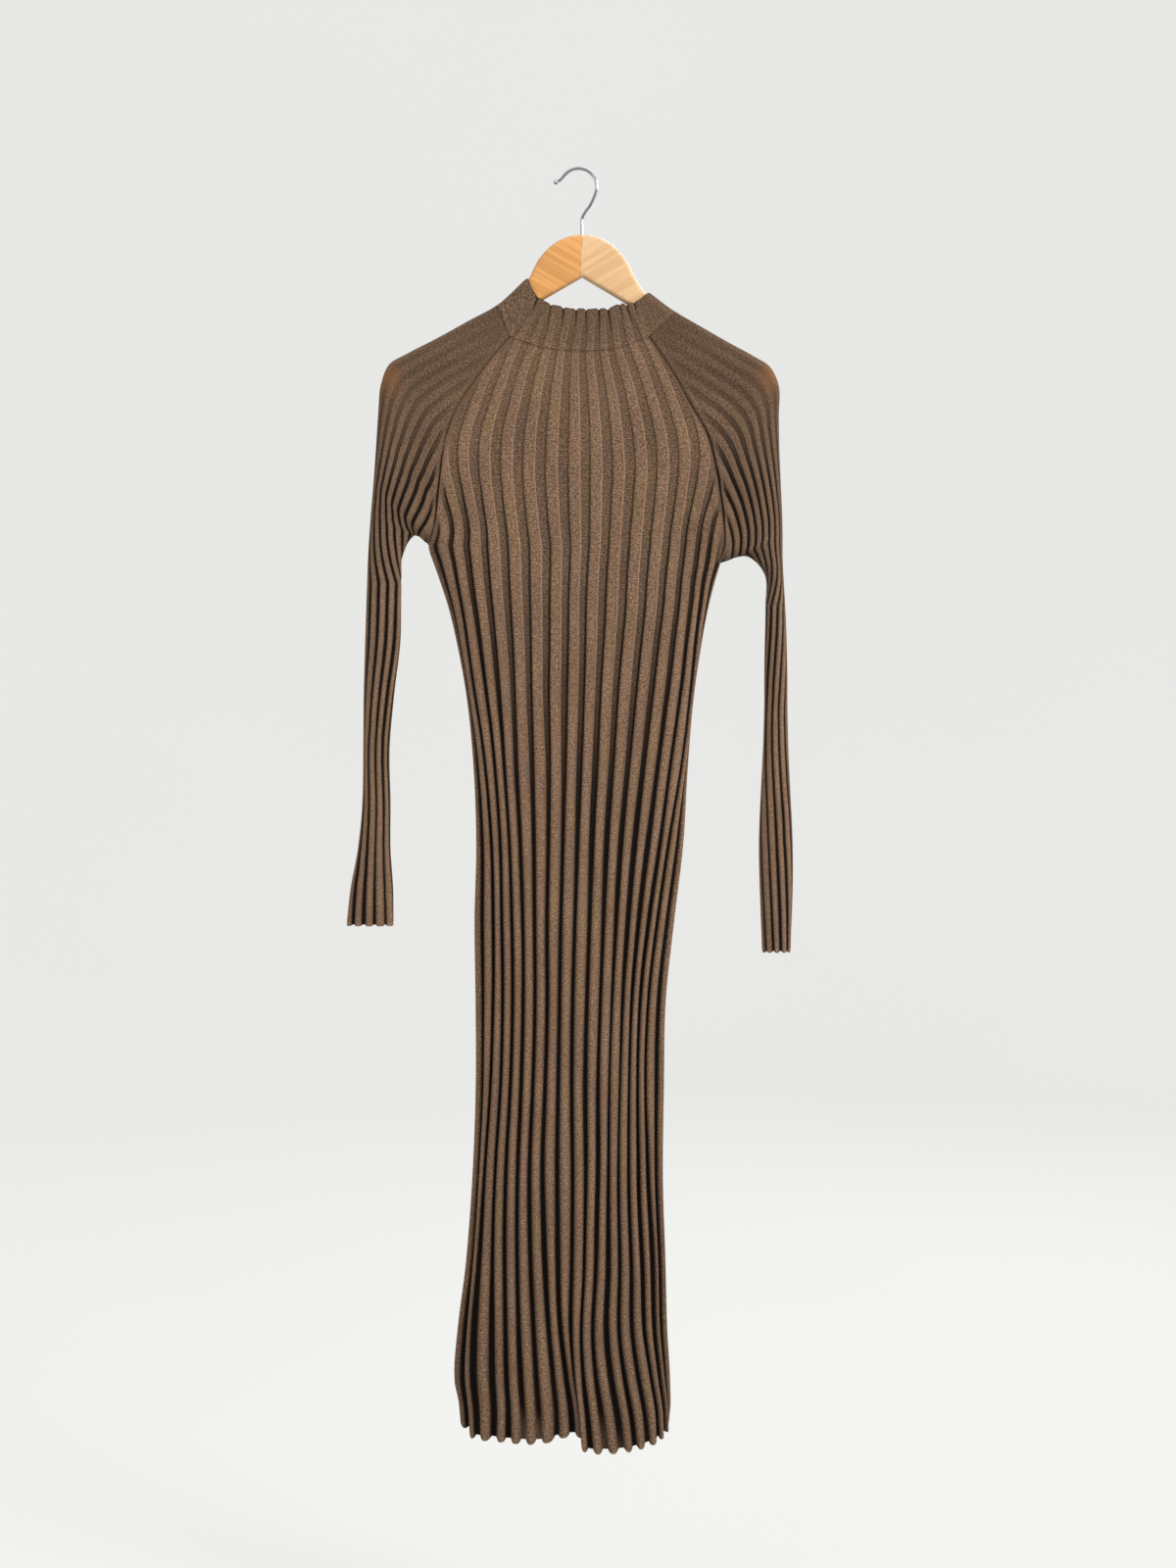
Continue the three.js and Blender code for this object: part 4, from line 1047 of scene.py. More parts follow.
def grain_group():
    """Wood grain along X: growth lines, fine fibres and short pores."""
    w, given, out = new_group("Wood grain", [
        ("Vector", "Place", None),
        ("Color", "Wood", (0.8, 0.5, 0.25, 1)),
        ("Color", "Growth line", (0.6, 0.3, 0.12, 1)),
    ], [("Color", "Color"), ("Float", "Height")])
    bent = w.noise(w.stretched(given["Place"], (6, 20, 30)), 1.0, 2.0)
    lines = w.noise(w.stretched(given["Place"], (4, 60, 160)), 1.0, 3.0, 0.6)
    fibres = w.noise(w.stretched(given["Place"], (30, 700, 900)), 1.0, 2.0)
    mark = w.math("MULTIPLY", w.span(w.math("ADD", lines, w.math("MULTIPLY", bent, 0.3)), 0.52, 0.8), 0.5)
    colour = w.mix(mark, given["Wood"], given["Growth line"])
    colour = w.mix(w.span(fibres, 0.5, 0.75, 0.0, 0.3), colour, given["Growth line"])
    w.put(out, "Color", colour)
    w.put(out, "Height", fibres)
    return w.tree


def new_material(name, **surface):
    """A material with its wiring and its Principled shader."""
    material = bpy.data.materials.new(name)
    material.use_nodes = True
    w = Wiring(material.node_tree)
    shader = w.tree.nodes["Principled BSDF"]
    for key, value in surface.items():
        w.put(shader, key.replace("_", " "), value)
    return material, w, shader


def group(w, tree, **inputs):
    node = w.add("ShaderNodeGroup", {"node_tree": tree})
    for key, value in inputs.items():
        w.put(node, key.replace("_", " "), value)
    return node.outputs


# Painted shade: the near black colours that the grooves and the slits beside the crests are darkened to.
GROOVE_SHADE_COLOUR = (0.005, 0.003, 0.002, 1)
SLIT_SHADE_COLOUR = (0.008, 0.005, 0.003, 1)
GLOW_COLOUR = (0.42, 0.17, 0.05, 1)
# The darkest share of a groove's painted shade, the gain of the crest's painted
# highlight, the gain of the pale line's painted highlight, the orange glow's share,
# and how far the two lines stand inside the crest's edges.
GROOVE_SHADE_SHARE, CREST_HIGHLIGHT_GAIN, EDGE_HIGHLIGHT_GAIN, GLOW_SHARE, LINE_PLACE = 0.97, 0.75, 1.5, 0.32, 0.99
# The half widths of the pale line, a painted highlight, and of the dark slit, painted shade, as shares of
# the pitch.
EDGE_HIGHLIGHT_WIDTH, SLIT_SHADE_WIDTH, LINE_CORE = 0.05, (0.03, 0.09), 0.01
LOOP_HEIGHT, FLECK_HEIGHT = 0.6, 0.8


def knit_material(name, settings, groups, brightness=1.0):
    material, w, shader = new_material(
        name, Roughness=0.95, Sheen_Weight=0.08, Sheen_Roughness=0.5, Specular_IOR_Level=0.06)
    cloth = w.add("ShaderNodeUVMap", {"uv_map": "cloth"}).outputs[0]
    shade = w.add("ShaderNodeAttribute", {"attribute_name": "shade"}).outputs["Fac"]
    tint = w.add("ShaderNodeAttribute", {"attribute_name": "tint"}).outputs["Fac"]
    tones = [tuple(c * brightness for c in tone) + (1,)
             for tone in (settings.yarn, settings.pale_fibre, settings.dark_fibre)]
    yarn = group(w, groups["heather"], Cloth=cloth, Yarn=tones[0], Pale_fibre=tones[1],
                 Dark_fibre=tones[2], Contrast=0.95)
    # Painted shade: below 0 the shade mark darkens the yarn towards near black, in the grooves, the
    # seams, the collar's tucks, the shaded sleeve tops and side ribs and on the cloth's inside.
    dark = w.math("MULTIPLY", w.span(shade, 0.0, -0.9), GROOVE_SHADE_SHARE)
    colour = w.mix(dark, yarn["Color"], GROOVE_SHADE_COLOUR)
    across = w.add("ShaderNodeSeparateXYZ", Vector=cloth).outputs[0]
    share = w.math("FRACT", w.math("DIVIDE", across, float(WALES)))
    gap = w.add("ShaderNodeAttribute", {"attribute_name": "gap"}).outputs["Fac"]
    edge = w.add("ShaderNodeAttribute", {"attribute_name": "edge"}).outputs["Fac"]
    slit = w.add("ShaderNodeAttribute", {"attribute_name": "slit"}).outputs["Fac"]
    # A painted highlight along each crest's right edge and painted shade in the slit along its left edge.
    crest_end = w.math("SUBTRACT", LINE_PLACE, w.math("MULTIPLY", gap, 0.5))
    off_right = w.math("ABSOLUTE", w.math("SUBTRACT", share, crest_end))
    off_left = w.math("ABSOLUTE", w.math("SUBTRACT", w.math("SUBTRACT", 1.0, share), crest_end))
    flecked = w.math("MULTIPLY", edge, yarn["Fleck"])
    pale = w.math("MULTIPLY", w.span(off_right, EDGE_HIGHLIGHT_WIDTH, LINE_CORE), flecked)
    width = w.math("ADD", w.math("MULTIPLY", slit, SLIT_SHADE_WIDTH[1]), SLIT_SHADE_WIDTH[0])
    line = w.math("MULTIPLY", w.span(off_left, width, LINE_CORE), slit)
    colour = w.mix(line, colour, SLIT_SHADE_COLOUR)
    colour = w.mix(pale, colour, tuple(EDGE_HIGHLIGHT_GAIN * c for c in tones[1][:3]) + (1,))
    # Painted highlight: above 0 the shade mark brightens the colour, on the crests and on the seams'
    # ridges.
    lit = w.add("ShaderNodeVectorMath", {"operation": "SCALE"})
    w.put(lit, 0, colour)
    crest = w.math("MULTIPLY", w.math("MAXIMUM", shade, 0.0), CREST_HIGHLIGHT_GAIN)
    w.put(lit, "Scale", w.math("ADD", crest, 1.0))
    colour = lit.outputs[0]
    colour = w.mix(w.math("MULTIPLY", tint, GLOW_SHARE), colour, GLOW_COLOUR)
    w.put(shader, "Base Color", colour)
    stitches = group(w, groups["stitches"], Cloth=cloth)
    loops = w.math("MULTIPLY", stitches["Height"], LOOP_HEIGHT)
    height = w.math("ADD", loops, w.math("MULTIPLY", yarn["Fleck"], FLECK_HEIGHT))
    bump = w.add("ShaderNodeBump", Strength=0.35, Distance=0.0006, Height=height)
    w.put(shader, "Normal", bump.outputs[0])
    return material


def wood_material(name, tone, line, lean, groups):
    material, w, shader = new_material(
        name, Roughness=0.38, Coat_Weight=0.7, Coat_Roughness=0.12, Specular_IOR_Level=0.4)
    place = w.add("ShaderNodeTexCoord").outputs["Object"]
    turned = w.stretched(place, (1, 1, 1), (0, lean, 0))
    grain = group(w, groups["grain"], Place=turned, Wood=tuple(tone) + (1,), Growth_line=line + (1,))
    w.put(shader, "Base Color", grain["Color"])
    bump = w.add("ShaderNodeBump", Strength=0.08, Distance=0.0004, Height=grain["Height"])
    w.put(shader, "Normal", bump.outputs[0])
    return material


def chrome_material():
    material, w, shader = new_material("Hook chrome", Metallic=1.0)
    place = w.add("ShaderNodeTexCoord").outputs["Object"]
    drawn = w.noise(w.stretched(place, (900, 900, 60)), 1.0, 2.0)
    bright = w.span(drawn, 0.3, 0.7)
    w.put(shader, "Base Color", w.mix(bright, (0.42, 0.43, 0.45, 1), (0.55, 0.56, 0.58, 1)))
    w.put(shader, "Roughness", w.span(drawn, 0.3, 0.7, 0.12, 0.2))
    return material


# The paper's own colour is dim, because most of its tone is its own light: how
# bright that is for the other rays and for the camera.
PAPER_SHARES = (0.2, 0.21)
PAPER_GLOW = (0.33, 0.8)


def stage_material(tone):
    material, w, shader = new_material("Studio paper", Roughness=0.95, Specular_IOR_Level=0.0)
    place = w.add("ShaderNodeTexCoord").outputs["Object"]
    mottle = w.span(w.noise(place, 0.6, 2.0), 0.3, 0.7)
    pale = tuple(tone)
    darker, lighter = (tuple(c * share for c in pale) + (1,) for share in PAPER_SHARES)
    w.put(shader, "Base Color", w.mix(mottle, darker, lighter))
    w.put(shader, "Emission Color", pale + (1,))
    seen = w.add("ShaderNodeLightPath").outputs["Is Camera Ray"]
    w.put(shader, "Emission Strength", w.span(seen, 0.0, 1.0, *PAPER_GLOW))
    return material


class DressSettings(bpy.types.PropertyGroup):
    """Sizes and colours of the dress, the hanger and the studio."""

    wall: bpy.props.FloatProperty(
        name="Cloth thickness", description="Thickness of the knit", default=0.0014,
        min=0.001, max=0.003, unit="LENGTH", subtype="DISTANCE")
    stitch_pitch: bpy.props.FloatProperty(
        name="Seam stitch", description="Length of one stitch along a seam", default=0.0027,
        min=0.001, max=0.01, unit="LENGTH", subtype="DISTANCE")
    wire: bpy.props.FloatProperty(
        name="Hook wire", description="Radius of the hook's wire", default=0.0017,
        min=0.001, max=0.004, unit="LENGTH", subtype="DISTANCE")
    wood_thickness: bpy.props.FloatProperty(
        name="Hanger thickness", description="Thickness of the wooden arms", default=0.012,
        min=0.008, max=0.02, unit="LENGTH", subtype="DISTANCE")
    yarn: bpy.props.FloatVectorProperty(
        name="Yarn", description="Main colour of the heather yarn", default=(0.160, 0.094, 0.057),
        min=0, max=1, subtype="COLOR")
    pale_fibre: bpy.props.FloatVectorProperty(
        name="Pale fibre", description="Colour of the pale flecks", default=(0.31, 0.205, 0.140),
        min=0, max=1, subtype="COLOR")
    dark_fibre: bpy.props.FloatVectorProperty(
        name="Dark fibre", description="Colour of the dark flecks", default=(0.064, 0.034, 0.020),
        min=0, max=1, subtype="COLOR")
    # The left arm is a deeper orange and the right arm paler: partly their wood and grain, partly painted
    # shade and light, as the left arm faces away from the light.
    wood_left: bpy.props.FloatVectorProperty(
        name="Left wood", description="Colour of the warmer half", default=(0.86, 0.42, 0.13),
        min=0, max=1, subtype="COLOR")
    wood_right: bpy.props.FloatVectorProperty(
        name="Right wood", description="Colour of the paler half", default=(0.86, 0.56, 0.30),
        min=0, max=1, subtype="COLOR")
    paper: bpy.props.FloatVectorProperty(
        name="Studio paper", description="Tone of the floor and the backdrop",
        default=(0.86, 0.86, 0.845), min=0, max=1, subtype="COLOR")
    floor_drop: bpy.props.FloatProperty(
        name="Floor", description="How far the floor lies under the hook", default=1.62,
        min=1.45, max=3, unit="LENGTH", subtype="DISTANCE")
    key_power: bpy.props.FloatProperty(
        name="Key light", description="Power of the main light", default=90.0,
        min=0, max=500, unit="POWER")


def shared_groups():
    """The shader groups, made once and then found by name."""
    makers = {"heather": ("Heather yarn", heather_group), "stitches": ("Knit stitches", stitch_group),
              "grain": ("Wood grain", grain_group)}
    return {key: bpy.data.node_groups.get(name) or make() for key, (name, make) in makers.items()}


def shared_knit(settings, name="Rib knit", brightness=1.0):
    made = bpy.data.materials.get(name)
    return made or knit_material(name, settings, shared_groups(), brightness)


def add_piece(name, mesh, material, node):
    """Puts a finished mesh in the scene in place of its CAD node."""
    piece = bpy.data.objects.new(name, mesh)
    bpy.context.scene.collection.objects.link(piece)
    mesh.materials.clear()
    mesh.materials.append(material)
    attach(piece, "root")
    if node:
        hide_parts(node)
    return piece


class DRESS_OT_front(bpy.types.Operator):
    """Knits the front of the dress"""

    bl_idname = "dress.front"
    bl_label = "Front"

    def execute(self, context):
        settings = context.scene.rib_dress
        mesh = body_shell(FRONT, settings.wall / MM).mesh("front_cloth")
        piece = add_piece("front_cloth", mesh, shared_knit(settings), "front_panel")
        return {"FINISHED"}


class DRESS_OT_back(bpy.types.Operator):
    """Knits the back of the dress"""

    bl_idname = "dress.back"
    bl_label = "Back"

    def execute(self, context):
        settings = context.scene.rib_dress
        mesh = body_shell(BACK, settings.wall / MM).mesh("back_cloth")
        piece = add_piece("back_cloth", mesh, shared_knit(settings), "back_panel")
        return {"FINISHED"}


class DRESS_OT_sleeves(bpy.types.Operator):
    """Knits both raglan sleeves"""

    bl_idname = "dress.sleeves"
    bl_label = "Sleeves"

    def execute(self, context):
        settings = context.scene.rib_dress
        for side in ("left", "right"):
            name = side + "_sleeve_cloth"
            mesh = sleeve_shell(side, settings.wall / MM).mesh(name)
            piece = add_piece(name, mesh, shared_knit(settings), side + "_sleeve")
        return {"FINISHED"}


class DRESS_OT_collar(bpy.types.Operator):
    """Knits the collar with its gathered edge"""

    bl_idname = "dress.collar"
    bl_label = "Collar"

    def execute(self, context):
        settings = context.scene.rib_dress
        mesh = collar_shell(settings.wall / MM).mesh("collar_cloth")
        # The collar's yarn is painted darker than the rest of the cloth: painted shade.
        material = shared_knit(settings, "Shaded collar knit", 0.82)
        piece = add_piece("collar_cloth", mesh, material, "collar")
        return {"FINISHED"}


def geometry_tree(name, inputs):
    """An empty Geometry Nodes tree with a mesh in, a mesh out and named sizes."""
    tree = bpy.data.node_groups.new(name, "GeometryNodeTree")
    tree.interface.new_socket("Geometry", in_out="INPUT", socket_type="NodeSocketGeometry")
    for kind, label, default in inputs:
        socket = tree.interface.new_socket(label, in_out="INPUT", socket_type="NodeSocket" + kind)
        if default is not None:
            socket.default_value = default
    tree.interface.new_socket("Geometry", in_out="OUTPUT", socket_type="NodeSocketGeometry")
    w = Wiring(tree)
    return w, w.add("NodeGroupInput").outputs, w.add("NodeGroupOutput")


def finish_tree(w, given, out, geometry):
    solid = w.add("GeometryNodeRealizeInstances", Geometry=geometry)
    smooth = w.add("GeometryNodeSetShadeSmooth", Geometry=solid.outputs[0])
    painted = w.add("GeometryNodeSetMaterial", Geometry=smooth.outputs[0], Material=given["Material"])
    w.put(out, "Geometry", painted.outputs[0])
    return w.tree


def stitch_tree():
    """Pairs of leaning loops set along every line of the input."""
    w, given, out = geometry_tree("Stitches along a seam", [
        ("Float", "Pitch", 0.0026), ("Float", "Width", 0.0024), ("Float", "Thickness", 0.0009),
        ("Float", "Lean", 0.5), ("Material", "Material", None)])
    line = w.add("GeometryNodeMeshToCurve", Mesh=given["Geometry"])
    places = w.add("GeometryNodeResampleCurve", {"mode": "LENGTH"}, Curve=line.outputs[0],
                   Length=given["Pitch"])
    legs = w.add("GeometryNodeJoinGeometry")
    for way in (-1, 1):
        loop = w.add("GeometryNodeMeshUVSphere", Segments=6, Rings=4, Radius=0.5)
        size = w.add("ShaderNodeCombineXYZ", X=w.math("MULTIPLY", given["Width"], 0.42),
                     Y=w.math("MULTIPLY", given["Pitch"], 1.25), Z=given["Thickness"])
        lean = w.add("ShaderNodeCombineXYZ", Z=w.math("MULTIPLY", given["Lean"], -way))
        step = w.add("ShaderNodeCombineXYZ", X=w.math("MULTIPLY", given["Width"], way * 0.24))
        leg = w.add("GeometryNodeTransform", Geometry=loop.outputs[0], Translation=step.outputs[0],
                    Rotation=lean.outputs[0], Scale=size.outputs[0])
        w.tree.links.new(leg.outputs[0], legs.inputs[0])
    outwards = w.add("GeometryNodeInputNamedAttribute", {"data_type": "FLOAT_VECTOR"}, Name="out")
    tangent = w.add("GeometryNodeInputTangent")
    turn = w.add("FunctionNodeAxesToRotation", {"primary_axis": "Z", "secondary_axis": "Y"},
                 Primary_Axis=outwards.outputs[0], Secondary_Axis=tangent.outputs[0])
    row = w.add("GeometryNodeInstanceOnPoints", Points=places.outputs[0], Instance=legs.outputs[0],
                Rotation=turn.outputs[0])
    return finish_tree(w, given, out, row.outputs[0])


def wire_tree():
    """A round wire with closed ends along the input's line."""
    w, given, out = geometry_tree("Wire along a line", [
        ("Float", "Radius", 0.0017), ("Int", "Sides", 20), ("Material", "Material", None)])
    line = w.add("GeometryNodeMeshToCurve", Mesh=given["Geometry"])
    ring = w.add("GeometryNodeCurvePrimitiveCircle", Resolution=given["Sides"], Radius=given["Radius"])
    tube = w.add("GeometryNodeCurveToMesh", Curve=line.outputs[0],
                 Profile_Curve=ring.outputs[0], Fill_Caps=True)
    return finish_tree(w, given, out, tube.outputs[0])


def line_mesh(name, lines, outwards=None):
    """Open lines of edges, each point with its way outwards."""
    points = np.vstack(lines)
    ends = np.cumsum([len(line) for line in lines]) - 1
    starts = np.setdiff1d(np.arange(len(points) - 1), ends)
    mesh = bpy.data.meshes.new(name)
    place = (points + (HANGER_X, 0, 0)) * MM
    mesh.from_pydata(place.tolist(), np.stack([starts, starts + 1], 1).tolist(), [])
    if outwards is not None:
        layer = mesh.attributes.new("out", "FLOAT_VECTOR", "POINT")
        layer.data.foreach_set("vector", np.vstack(outwards).ravel())
    return mesh


def grown(name, mesh, tree, **sizes):
    """The plain mesh that a Geometry Nodes tree makes from another mesh."""
    carrier = bpy.data.objects.new(name, mesh)
    bpy.context.scene.collection.objects.link(carrier)
    modifier = carrier.modifiers.new("Nodes", "NODES")
    modifier.node_group = tree
    for item in tree.interface.items_tree:
        label = item.name.replace(" ", "_")
        if item.in_out == "INPUT" and label in sizes:
            modifier[item.identifier] = sizes[label]
    carrier.update_tag()
    graph = bpy.context.evaluated_depsgraph_get()
    result = bpy.data.meshes.new_from_object(carrier.evaluated_get(graph))
    carrier.modifiers.clear()
    bpy.data.objects.remove(carrier)
    bpy.data.meshes.remove(mesh)
    if not result.polygons:
        raise RuntimeError(name + " came out empty")
    result.name = name
    return result


RIDGE_AWAY, RIDGE_LIFT = 2.6, 0.2
STITCH_WIDTH, STITCH_THICKNESS = 0.0034, 0.001


def seam_lines():
    """The stitched ridges beside the raglan seams, with their normals."""
    lines = []
    for face in (FRONT, BACK):
        for side, way in (("left", 1), ("right", -1)):
            z = np.linspace(NECK_Z - 3, UNDERARM[side] + 6, 150)
            lines.append((RAGLAN.read(side, z) + way * RIDGE_AWAY, z, face))
    made = [cloth_points(x, z, face, "body") for x, z, face in lines]
    points = [base + normal * RIDGE_LIFT for base, normal in made]
    return points, [normal for _, normal in made]


class DRESS_OT_seams(bpy.types.Operator):
    """Sews the linked stitches beside the raglan seams"""

    bl_idname = "dress.seams"
    bl_label = "Seam stitches"

    def execute(self, context):
        settings = context.scene.rib_dress
        # The stitches' yarn is painted brighter than the cloth's: a painted highlight, as on the seam's
        # ridge.
        knit = shared_knit(settings, "Highlit seam yarn", 1.2)
        points, outwards = seam_lines()
        mesh = grown("seam_stitches", line_mesh("seam lines", points, outwards), stitch_tree(),
                     Pitch=settings.stitch_pitch, Width=STITCH_WIDTH,
                     Thickness=STITCH_THICKNESS, Material=knit)
        for key in MARKS:
            mesh.attributes.new(key, "FLOAT", "POINT")
        add_piece("seam_stitches", mesh, knit, None)
        return {"FINISHED"}


# The hanger's outline, in the dress's frame.
WOOD_APEX = -118
WOOD_HEAD = [((0, -71.5), (26, -71.5), (46, -89), (56, -115)),
             ((56, -115), (62, -126), (68, -138), (86, -150))]
WOOD_TIP = {"left": (-201, -222.4, 9.3, 0.57), "right": (195, -223.6, 8.8, 0.59)}
WOOD_ROUNDING = 4.5
WOOD_CLEARANCE = 2.6
MITRE_GAP = 0.3


def bezier(points, steps):
    a, b, c, d = (np.array(p, float) for p in points)
    t = np.linspace(0, 1, steps + 1)[:, None]
    return a * (1 - t) ** 3 + 3 * b * t * (1 - t) ** 2 + 3 * c * t ** 2 * (1 - t) + d * t ** 3


def wood_outline(side):
    """Half the hanger's outline, from the mitre's top round the tip to its foot."""
    way = -1 if side == "left" else 1
    head = np.vstack([bezier(curve, 10)[:-1] for curve in WOOD_HEAD]) * (way, 1)
    rows = np.linspace(1, 3, 13)
    fold = outer_fold(side, rows)
    _, out_x, out_z = edge_distance(fold[:, 0], fold[:, 1])
    drop = WOOD_CLEARANCE + relief_at(fold[:, 1], "sleeve")
    arm = fold - np.stack([out_x, out_z], axis=-1) * drop[:, None]
    x, z, radius, slope = WOOD_TIP[side]
    lean = math.atan(slope)
    angles = math.pi / 2 - lean - np.linspace(0, math.pi, 25)
    tip = np.stack([x + way * radius * np.cos(angles), z + radius * np.sin(angles)], axis=-1)
    foot = np.linspace(tip[-1], (0, WOOD_APEX), 12)[1:]
    outline = np.vstack([head, arm, tip, foot])
    outline[0, 0] = outline[-1, 0] = way * MITRE_GAP / 2
    return outline


def wood_half(side, thickness):
    """One arm with rounded edges, cut square at the mitre."""
    outline = wood_outline(side)
    way = -1 if side == "left" else 1
    steps = np.diff(outline, axis=0)
    steps /= np.linalg.norm(steps, axis=1, keepdims=True)
    ahead, behind = np.vstack([steps, steps[-1:]]), np.vstack([steps[:1], steps])
    tangent = ahead + behind
    tangent /= np.linalg.norm(tangent, axis=1, keepdims=True)
    inward = np.stack([tangent[:, 1], -tangent[:, 0]], axis=-1) * way
    inward[0], inward[-1] = (0, -1), (0, 1.1)
    angles = np.linspace(0, math.pi / 2, 8)
    half = thickness / MM / 2
    profile = [(half - WOOD_ROUNDING * (1 - math.sin(a)), WOOD_ROUNDING * (1 - math.cos(a)))
               for a in angles]
    rings = [(-y, inset) for y, inset in profile[::-1]] + profile
    made = bmesh.new()
    loops = []
    for y, inset in rings:
        place = outline + inward * inset
        loops.append([made.verts.new(((x + HANGER_X) * MM, y * MM, z * MM)) for x, z in place])
    for first, second in zip(loops, loops[1:]):
        for i in range(len(outline) - 1):
            made.faces.new((first[i], first[i + 1], second[i + 1], second[i]))
    made.faces.new(loops[0])
    made.faces.new(loops[-1][::-1])
    made.faces.new([loop[0] for loop in loops] + [loop[-1] for loop in loops[::-1]])
    bmesh.ops.recalc_face_normals(made, faces=made.faces)
    bmesh.ops.triangulate(made, faces=[face for face in made.faces if len(face.verts) > 4])
    mesh = bpy.data.meshes.new("wood_arm_" + side)
    made.to_mesh(mesh)
    made.free()
    mesh.shade_smooth()
    mesh.set_sharp_from_angle(angle=math.radians(40))
    return mesh


class DRESS_OT_hanger(bpy.types.Operator):
    """Shapes the two mitred arms of the wooden hanger"""

    bl_idname = "dress.hanger"
    bl_label = "Hanger"

    def execute(self, context):
        settings = context.scene.rib_dress
        groups = shared_groups()
        for side, tone, line, lean in (
                ("left", settings.wood_left, (0.52, 0.21, 0.05), -0.53),
                ("right", settings.wood_right, (0.66, 0.36, 0.14), 0.53)):
            material = wood_material("Lacquered wood " + side, tone, line, lean, groups)
            mesh = wood_half(side, settings.wood_thickness)
            add_piece("wood_arm_" + side, mesh, material, "hanger_arm_" + side)
        return {"FINISHED"}


# The hook's wire: up out of the wood, a bend to the right and an open circle.
HOOK_RADIUS = 20
HOOK_TURN = (-22, 142)
HOOK_STEM = [(0, -84.5), (0, -66), (0, -54), (3.2, -46.5), (9, -38.5)]
HOOK_END = [(-24.5, -11.2), (-28, -13)]
HOOK_BALL = (-28.8, -13.5)
HOOK_BALL_RADIUS = 2.6


def hook_route(wire):
    centre_x, centre_z = -HANGER_X, wire - HOOK_RADIUS
    angles = np.radians(np.linspace(*HOOK_TURN, 11))
    ring = np.stack([np.cos(angles), np.sin(angles)], axis=-1)
    circle = (centre_x, centre_z) + HOOK_RADIUS * ring
    points = np.vstack([HOOK_STEM, circle, HOOK_END])
    route = along_path(points, np.linspace(0, len(points) - 1, 16 * (len(points) - 1) + 1))
    return np.stack([route[:, 0], np.zeros(len(route)), route[:, 1]], axis=-1)


class DRESS_OT_hook(bpy.types.Operator):
    """Bends the hanger's wire hook"""

    bl_idname = "dress.hook"
    bl_label = "Hook"

    def execute(self, context):
        settings = context.scene.rib_dress
        chrome = chrome_material()
        route = line_mesh("hook line", [hook_route(settings.wire / MM)])
        mesh = grown("hook_wire", route, wire_tree(), Radius=settings.wire, Sides=24, Material=chrome)
        made = bmesh.new()
        made.from_mesh(mesh)
        x, z = HOOK_BALL
        place = Matrix.Translation(((x + HANGER_X) * MM, 0, z * MM))
        bmesh.ops.create_uvsphere(made, u_segments=24, v_segments=14,
                                  radius=HOOK_BALL_RADIUS * MM, matrix=place)
        for face in made.faces:
            face.smooth = True
        made.to_mesh(mesh)
        made.free()
        add_piece("hook_wire", mesh, chrome, "hanger_hook")
        return {"FINISHED"}


COVE_RADIUS, COVE_FILLET, COVE_HEIGHT = 6.0, 2.0, 6.0
COVE_FLOOR = (0.02, 2, 3)
CAMERA_AT = (0.0103, -2.3, -0.6735)
CAMERA_LENS = 48.14
DRESS_MIDDLE = (0.0, 0.0, -0.72)


def cove_mesh(floor_z):
    """A round floor that curves up into a wall on every side."""
    bend = np.linspace(0, math.pi / 2, 13)
    bent = COVE_RADIUS - COVE_FILLET + COVE_FILLET * np.sin(bend)
    radii = np.concatenate([COVE_FLOOR, bent, [COVE_RADIUS]])
    rise = COVE_FILLET * (1 - np.cos(bend))
    heights = np.concatenate([[0] * len(COVE_FLOOR), rise, [COVE_HEIGHT]]) + floor_z
    turns = np.linspace(0, 2 * math.pi, 97)[:-1]
    ring = np.stack([np.cos(turns), np.sin(turns)], axis=-1)
    points = [(radius * c, radius * s, z) for radius, z in zip(radii, heights) for c, s in ring]
    count = len(ring)
    faces = []
    for r in range(len(radii) - 1):
        near, far = r * count, (r + 1) * count
        faces += [(near + i, near + (i + 1) % count, far + (i + 1) % count, far + i)
                  for i in range(count)]
    faces.append(tuple(range(count)))
    mesh = bpy.data.meshes.new("studio_cove")
    mesh.from_pydata(points, [], [face[::-1] for face in faces[:-1]] + [faces[-1]])
    mesh.shade_smooth()
    return mesh


def area_light(name, place, size, power, colour=(1, 1, 1)):
    light = bpy.data.lights.new(name, "AREA")
    light.shape = "DISK"
    light.size = size
    light.energy = power
    light.color = colour
    holder = bpy.data.objects.new(name, light)
    holder.location = place
    holder.rotation_euler = (Vector(DRESS_MIDDLE) - Vector(place)).to_track_quat("-Z", "Y").to_euler()
    bpy.context.scene.collection.objects.link(holder)


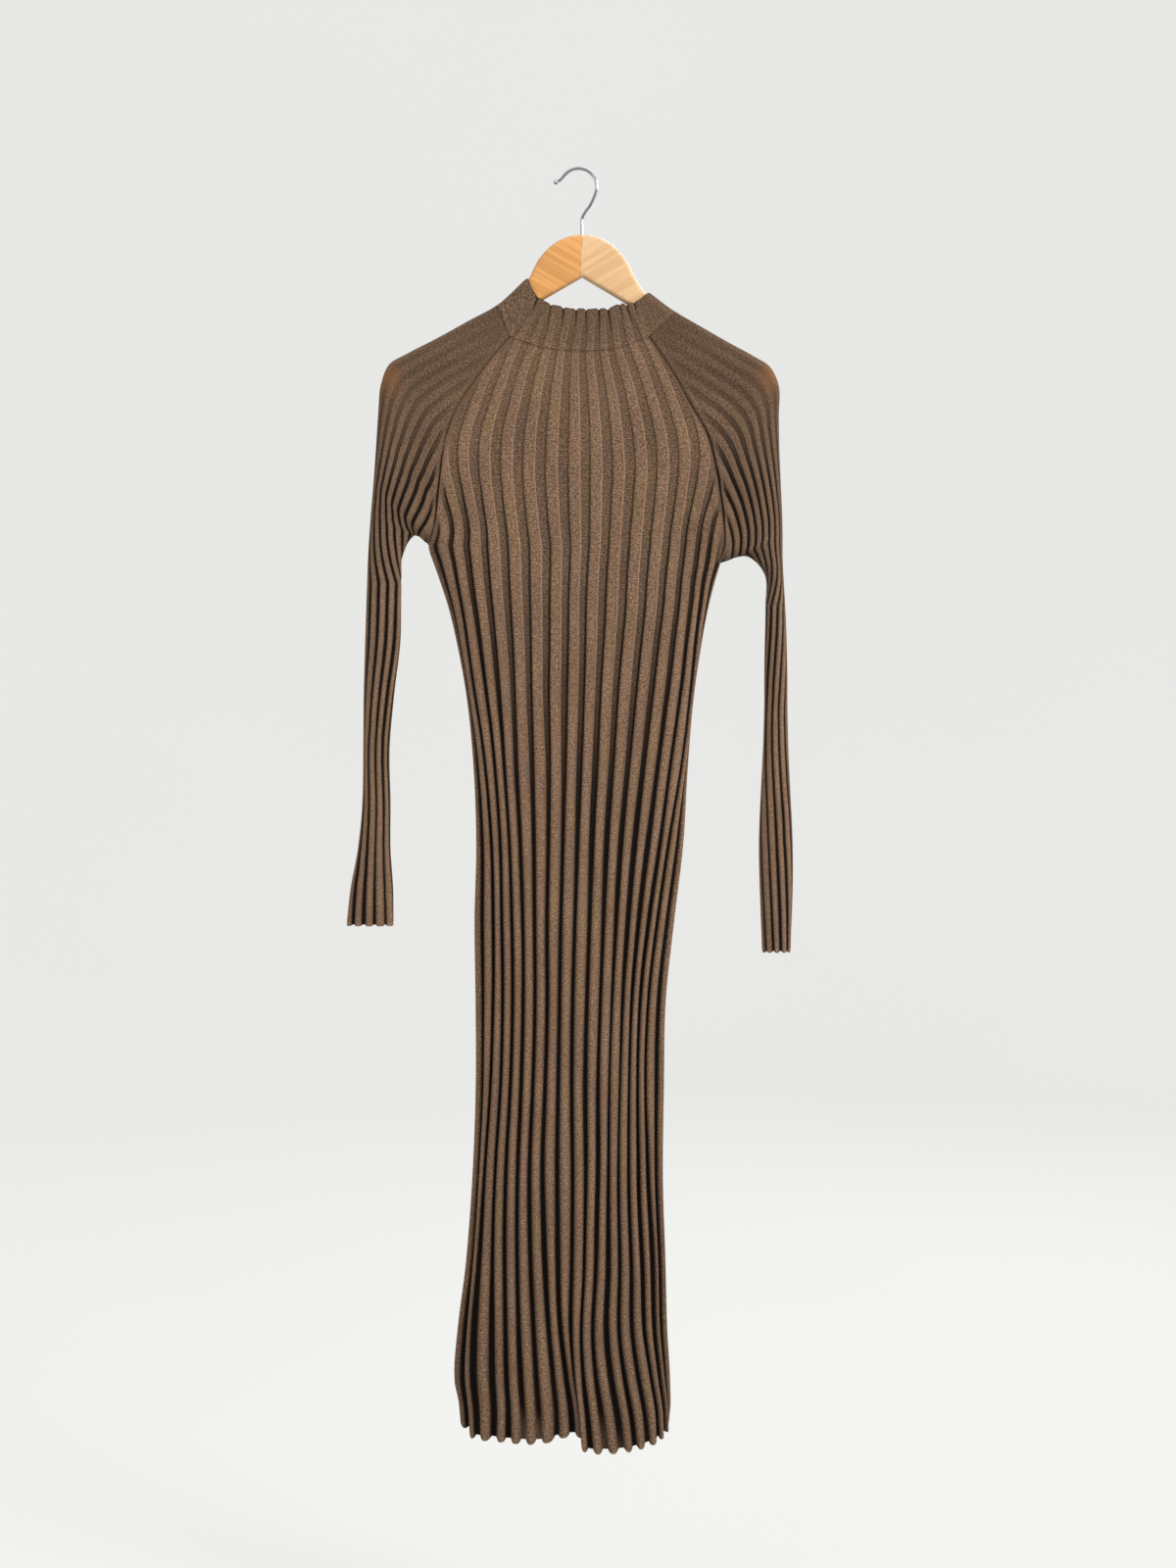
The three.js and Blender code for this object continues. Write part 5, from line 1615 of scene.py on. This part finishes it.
class DRESS_OT_stage(bpy.types.Operator):
    """Sets the camera, the pale studio and its soft lights"""

    bl_idname = "dress.stage"
    bl_label = "Camera and studio"

    def execute(self, context):
        settings = context.scene.rib_dress
        camera = bpy.data.cameras.new("camera")
        camera.lens = CAMERA_LENS
        camera.sensor_width = 36
        holder = bpy.data.objects.new("camera", camera)
        holder.location = CAMERA_AT
        holder.rotation_euler = (math.pi / 2, 0, 0)
        context.scene.collection.objects.link(holder)
        context.scene.camera = holder
        cove = bpy.data.objects.new("studio_cove", cove_mesh(-settings.floor_drop))
        context.scene.collection.objects.link(cove)
        cove.data.materials.append(stage_material(settings.paper))
        world = bpy.data.worlds.new("studio air")
        world.use_nodes = True
        world.node_tree.nodes["Background"].inputs["Color"].default_value = tuple(settings.paper) + (1,)
        context.scene.world = world
        area_light("key", (2.5, -1.9, 1.0), 1.2, settings.key_power)
        area_light("fill", (-2.2, -2.4, 0.2), 2.4, settings.key_power * 0.3)
        area_light("rim", (0.9, 2.4, 0.9), 1.8, settings.key_power * 0.4)
        context.scene.view_settings.view_transform = "Standard"
        return {"FINISHED"}


OPERATORS = (DRESS_OT_stage, DRESS_OT_front, DRESS_OT_back, DRESS_OT_sleeves, DRESS_OT_collar,
             DRESS_OT_seams, DRESS_OT_hanger, DRESS_OT_hook)


class DRESS_PT_panel(bpy.types.Panel):
    """Sizes, colours and steps of the dress"""

    bl_idname = "DRESS_PT_panel"
    bl_label = "Rib knit dress"
    bl_space_type = "VIEW_3D"
    bl_region_type = "UI"
    bl_category = "Dress"

    def draw(self, context):
        for name in DressSettings.__annotations__:
            self.layout.prop(context.scene.rib_dress, name)
        for operator in OPERATORS:
            self.layout.operator(operator.bl_idname)


CLASSES = (DressSettings,) + OPERATORS + (DRESS_PT_panel,)


def register():
    for kind in CLASSES:
        bpy.utils.register_class(kind)
    bpy.types.Scene.rib_dress = bpy.props.PointerProperty(type=DressSettings)


def unregister():
    del bpy.types.Scene.rib_dress
    for kind in reversed(CLASSES):
        bpy.utils.unregister_class(kind)


def main():
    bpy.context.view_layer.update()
    register()
    bpy.ops.dress.stage()
    bpy.ops.dress.front()
    bpy.ops.dress.back()
    bpy.ops.dress.sleeves()
    bpy.ops.dress.collar()
    bpy.ops.dress.seams()
    bpy.ops.dress.hanger()
    bpy.ops.dress.hook()


if __name__ == "__main__":
    main()
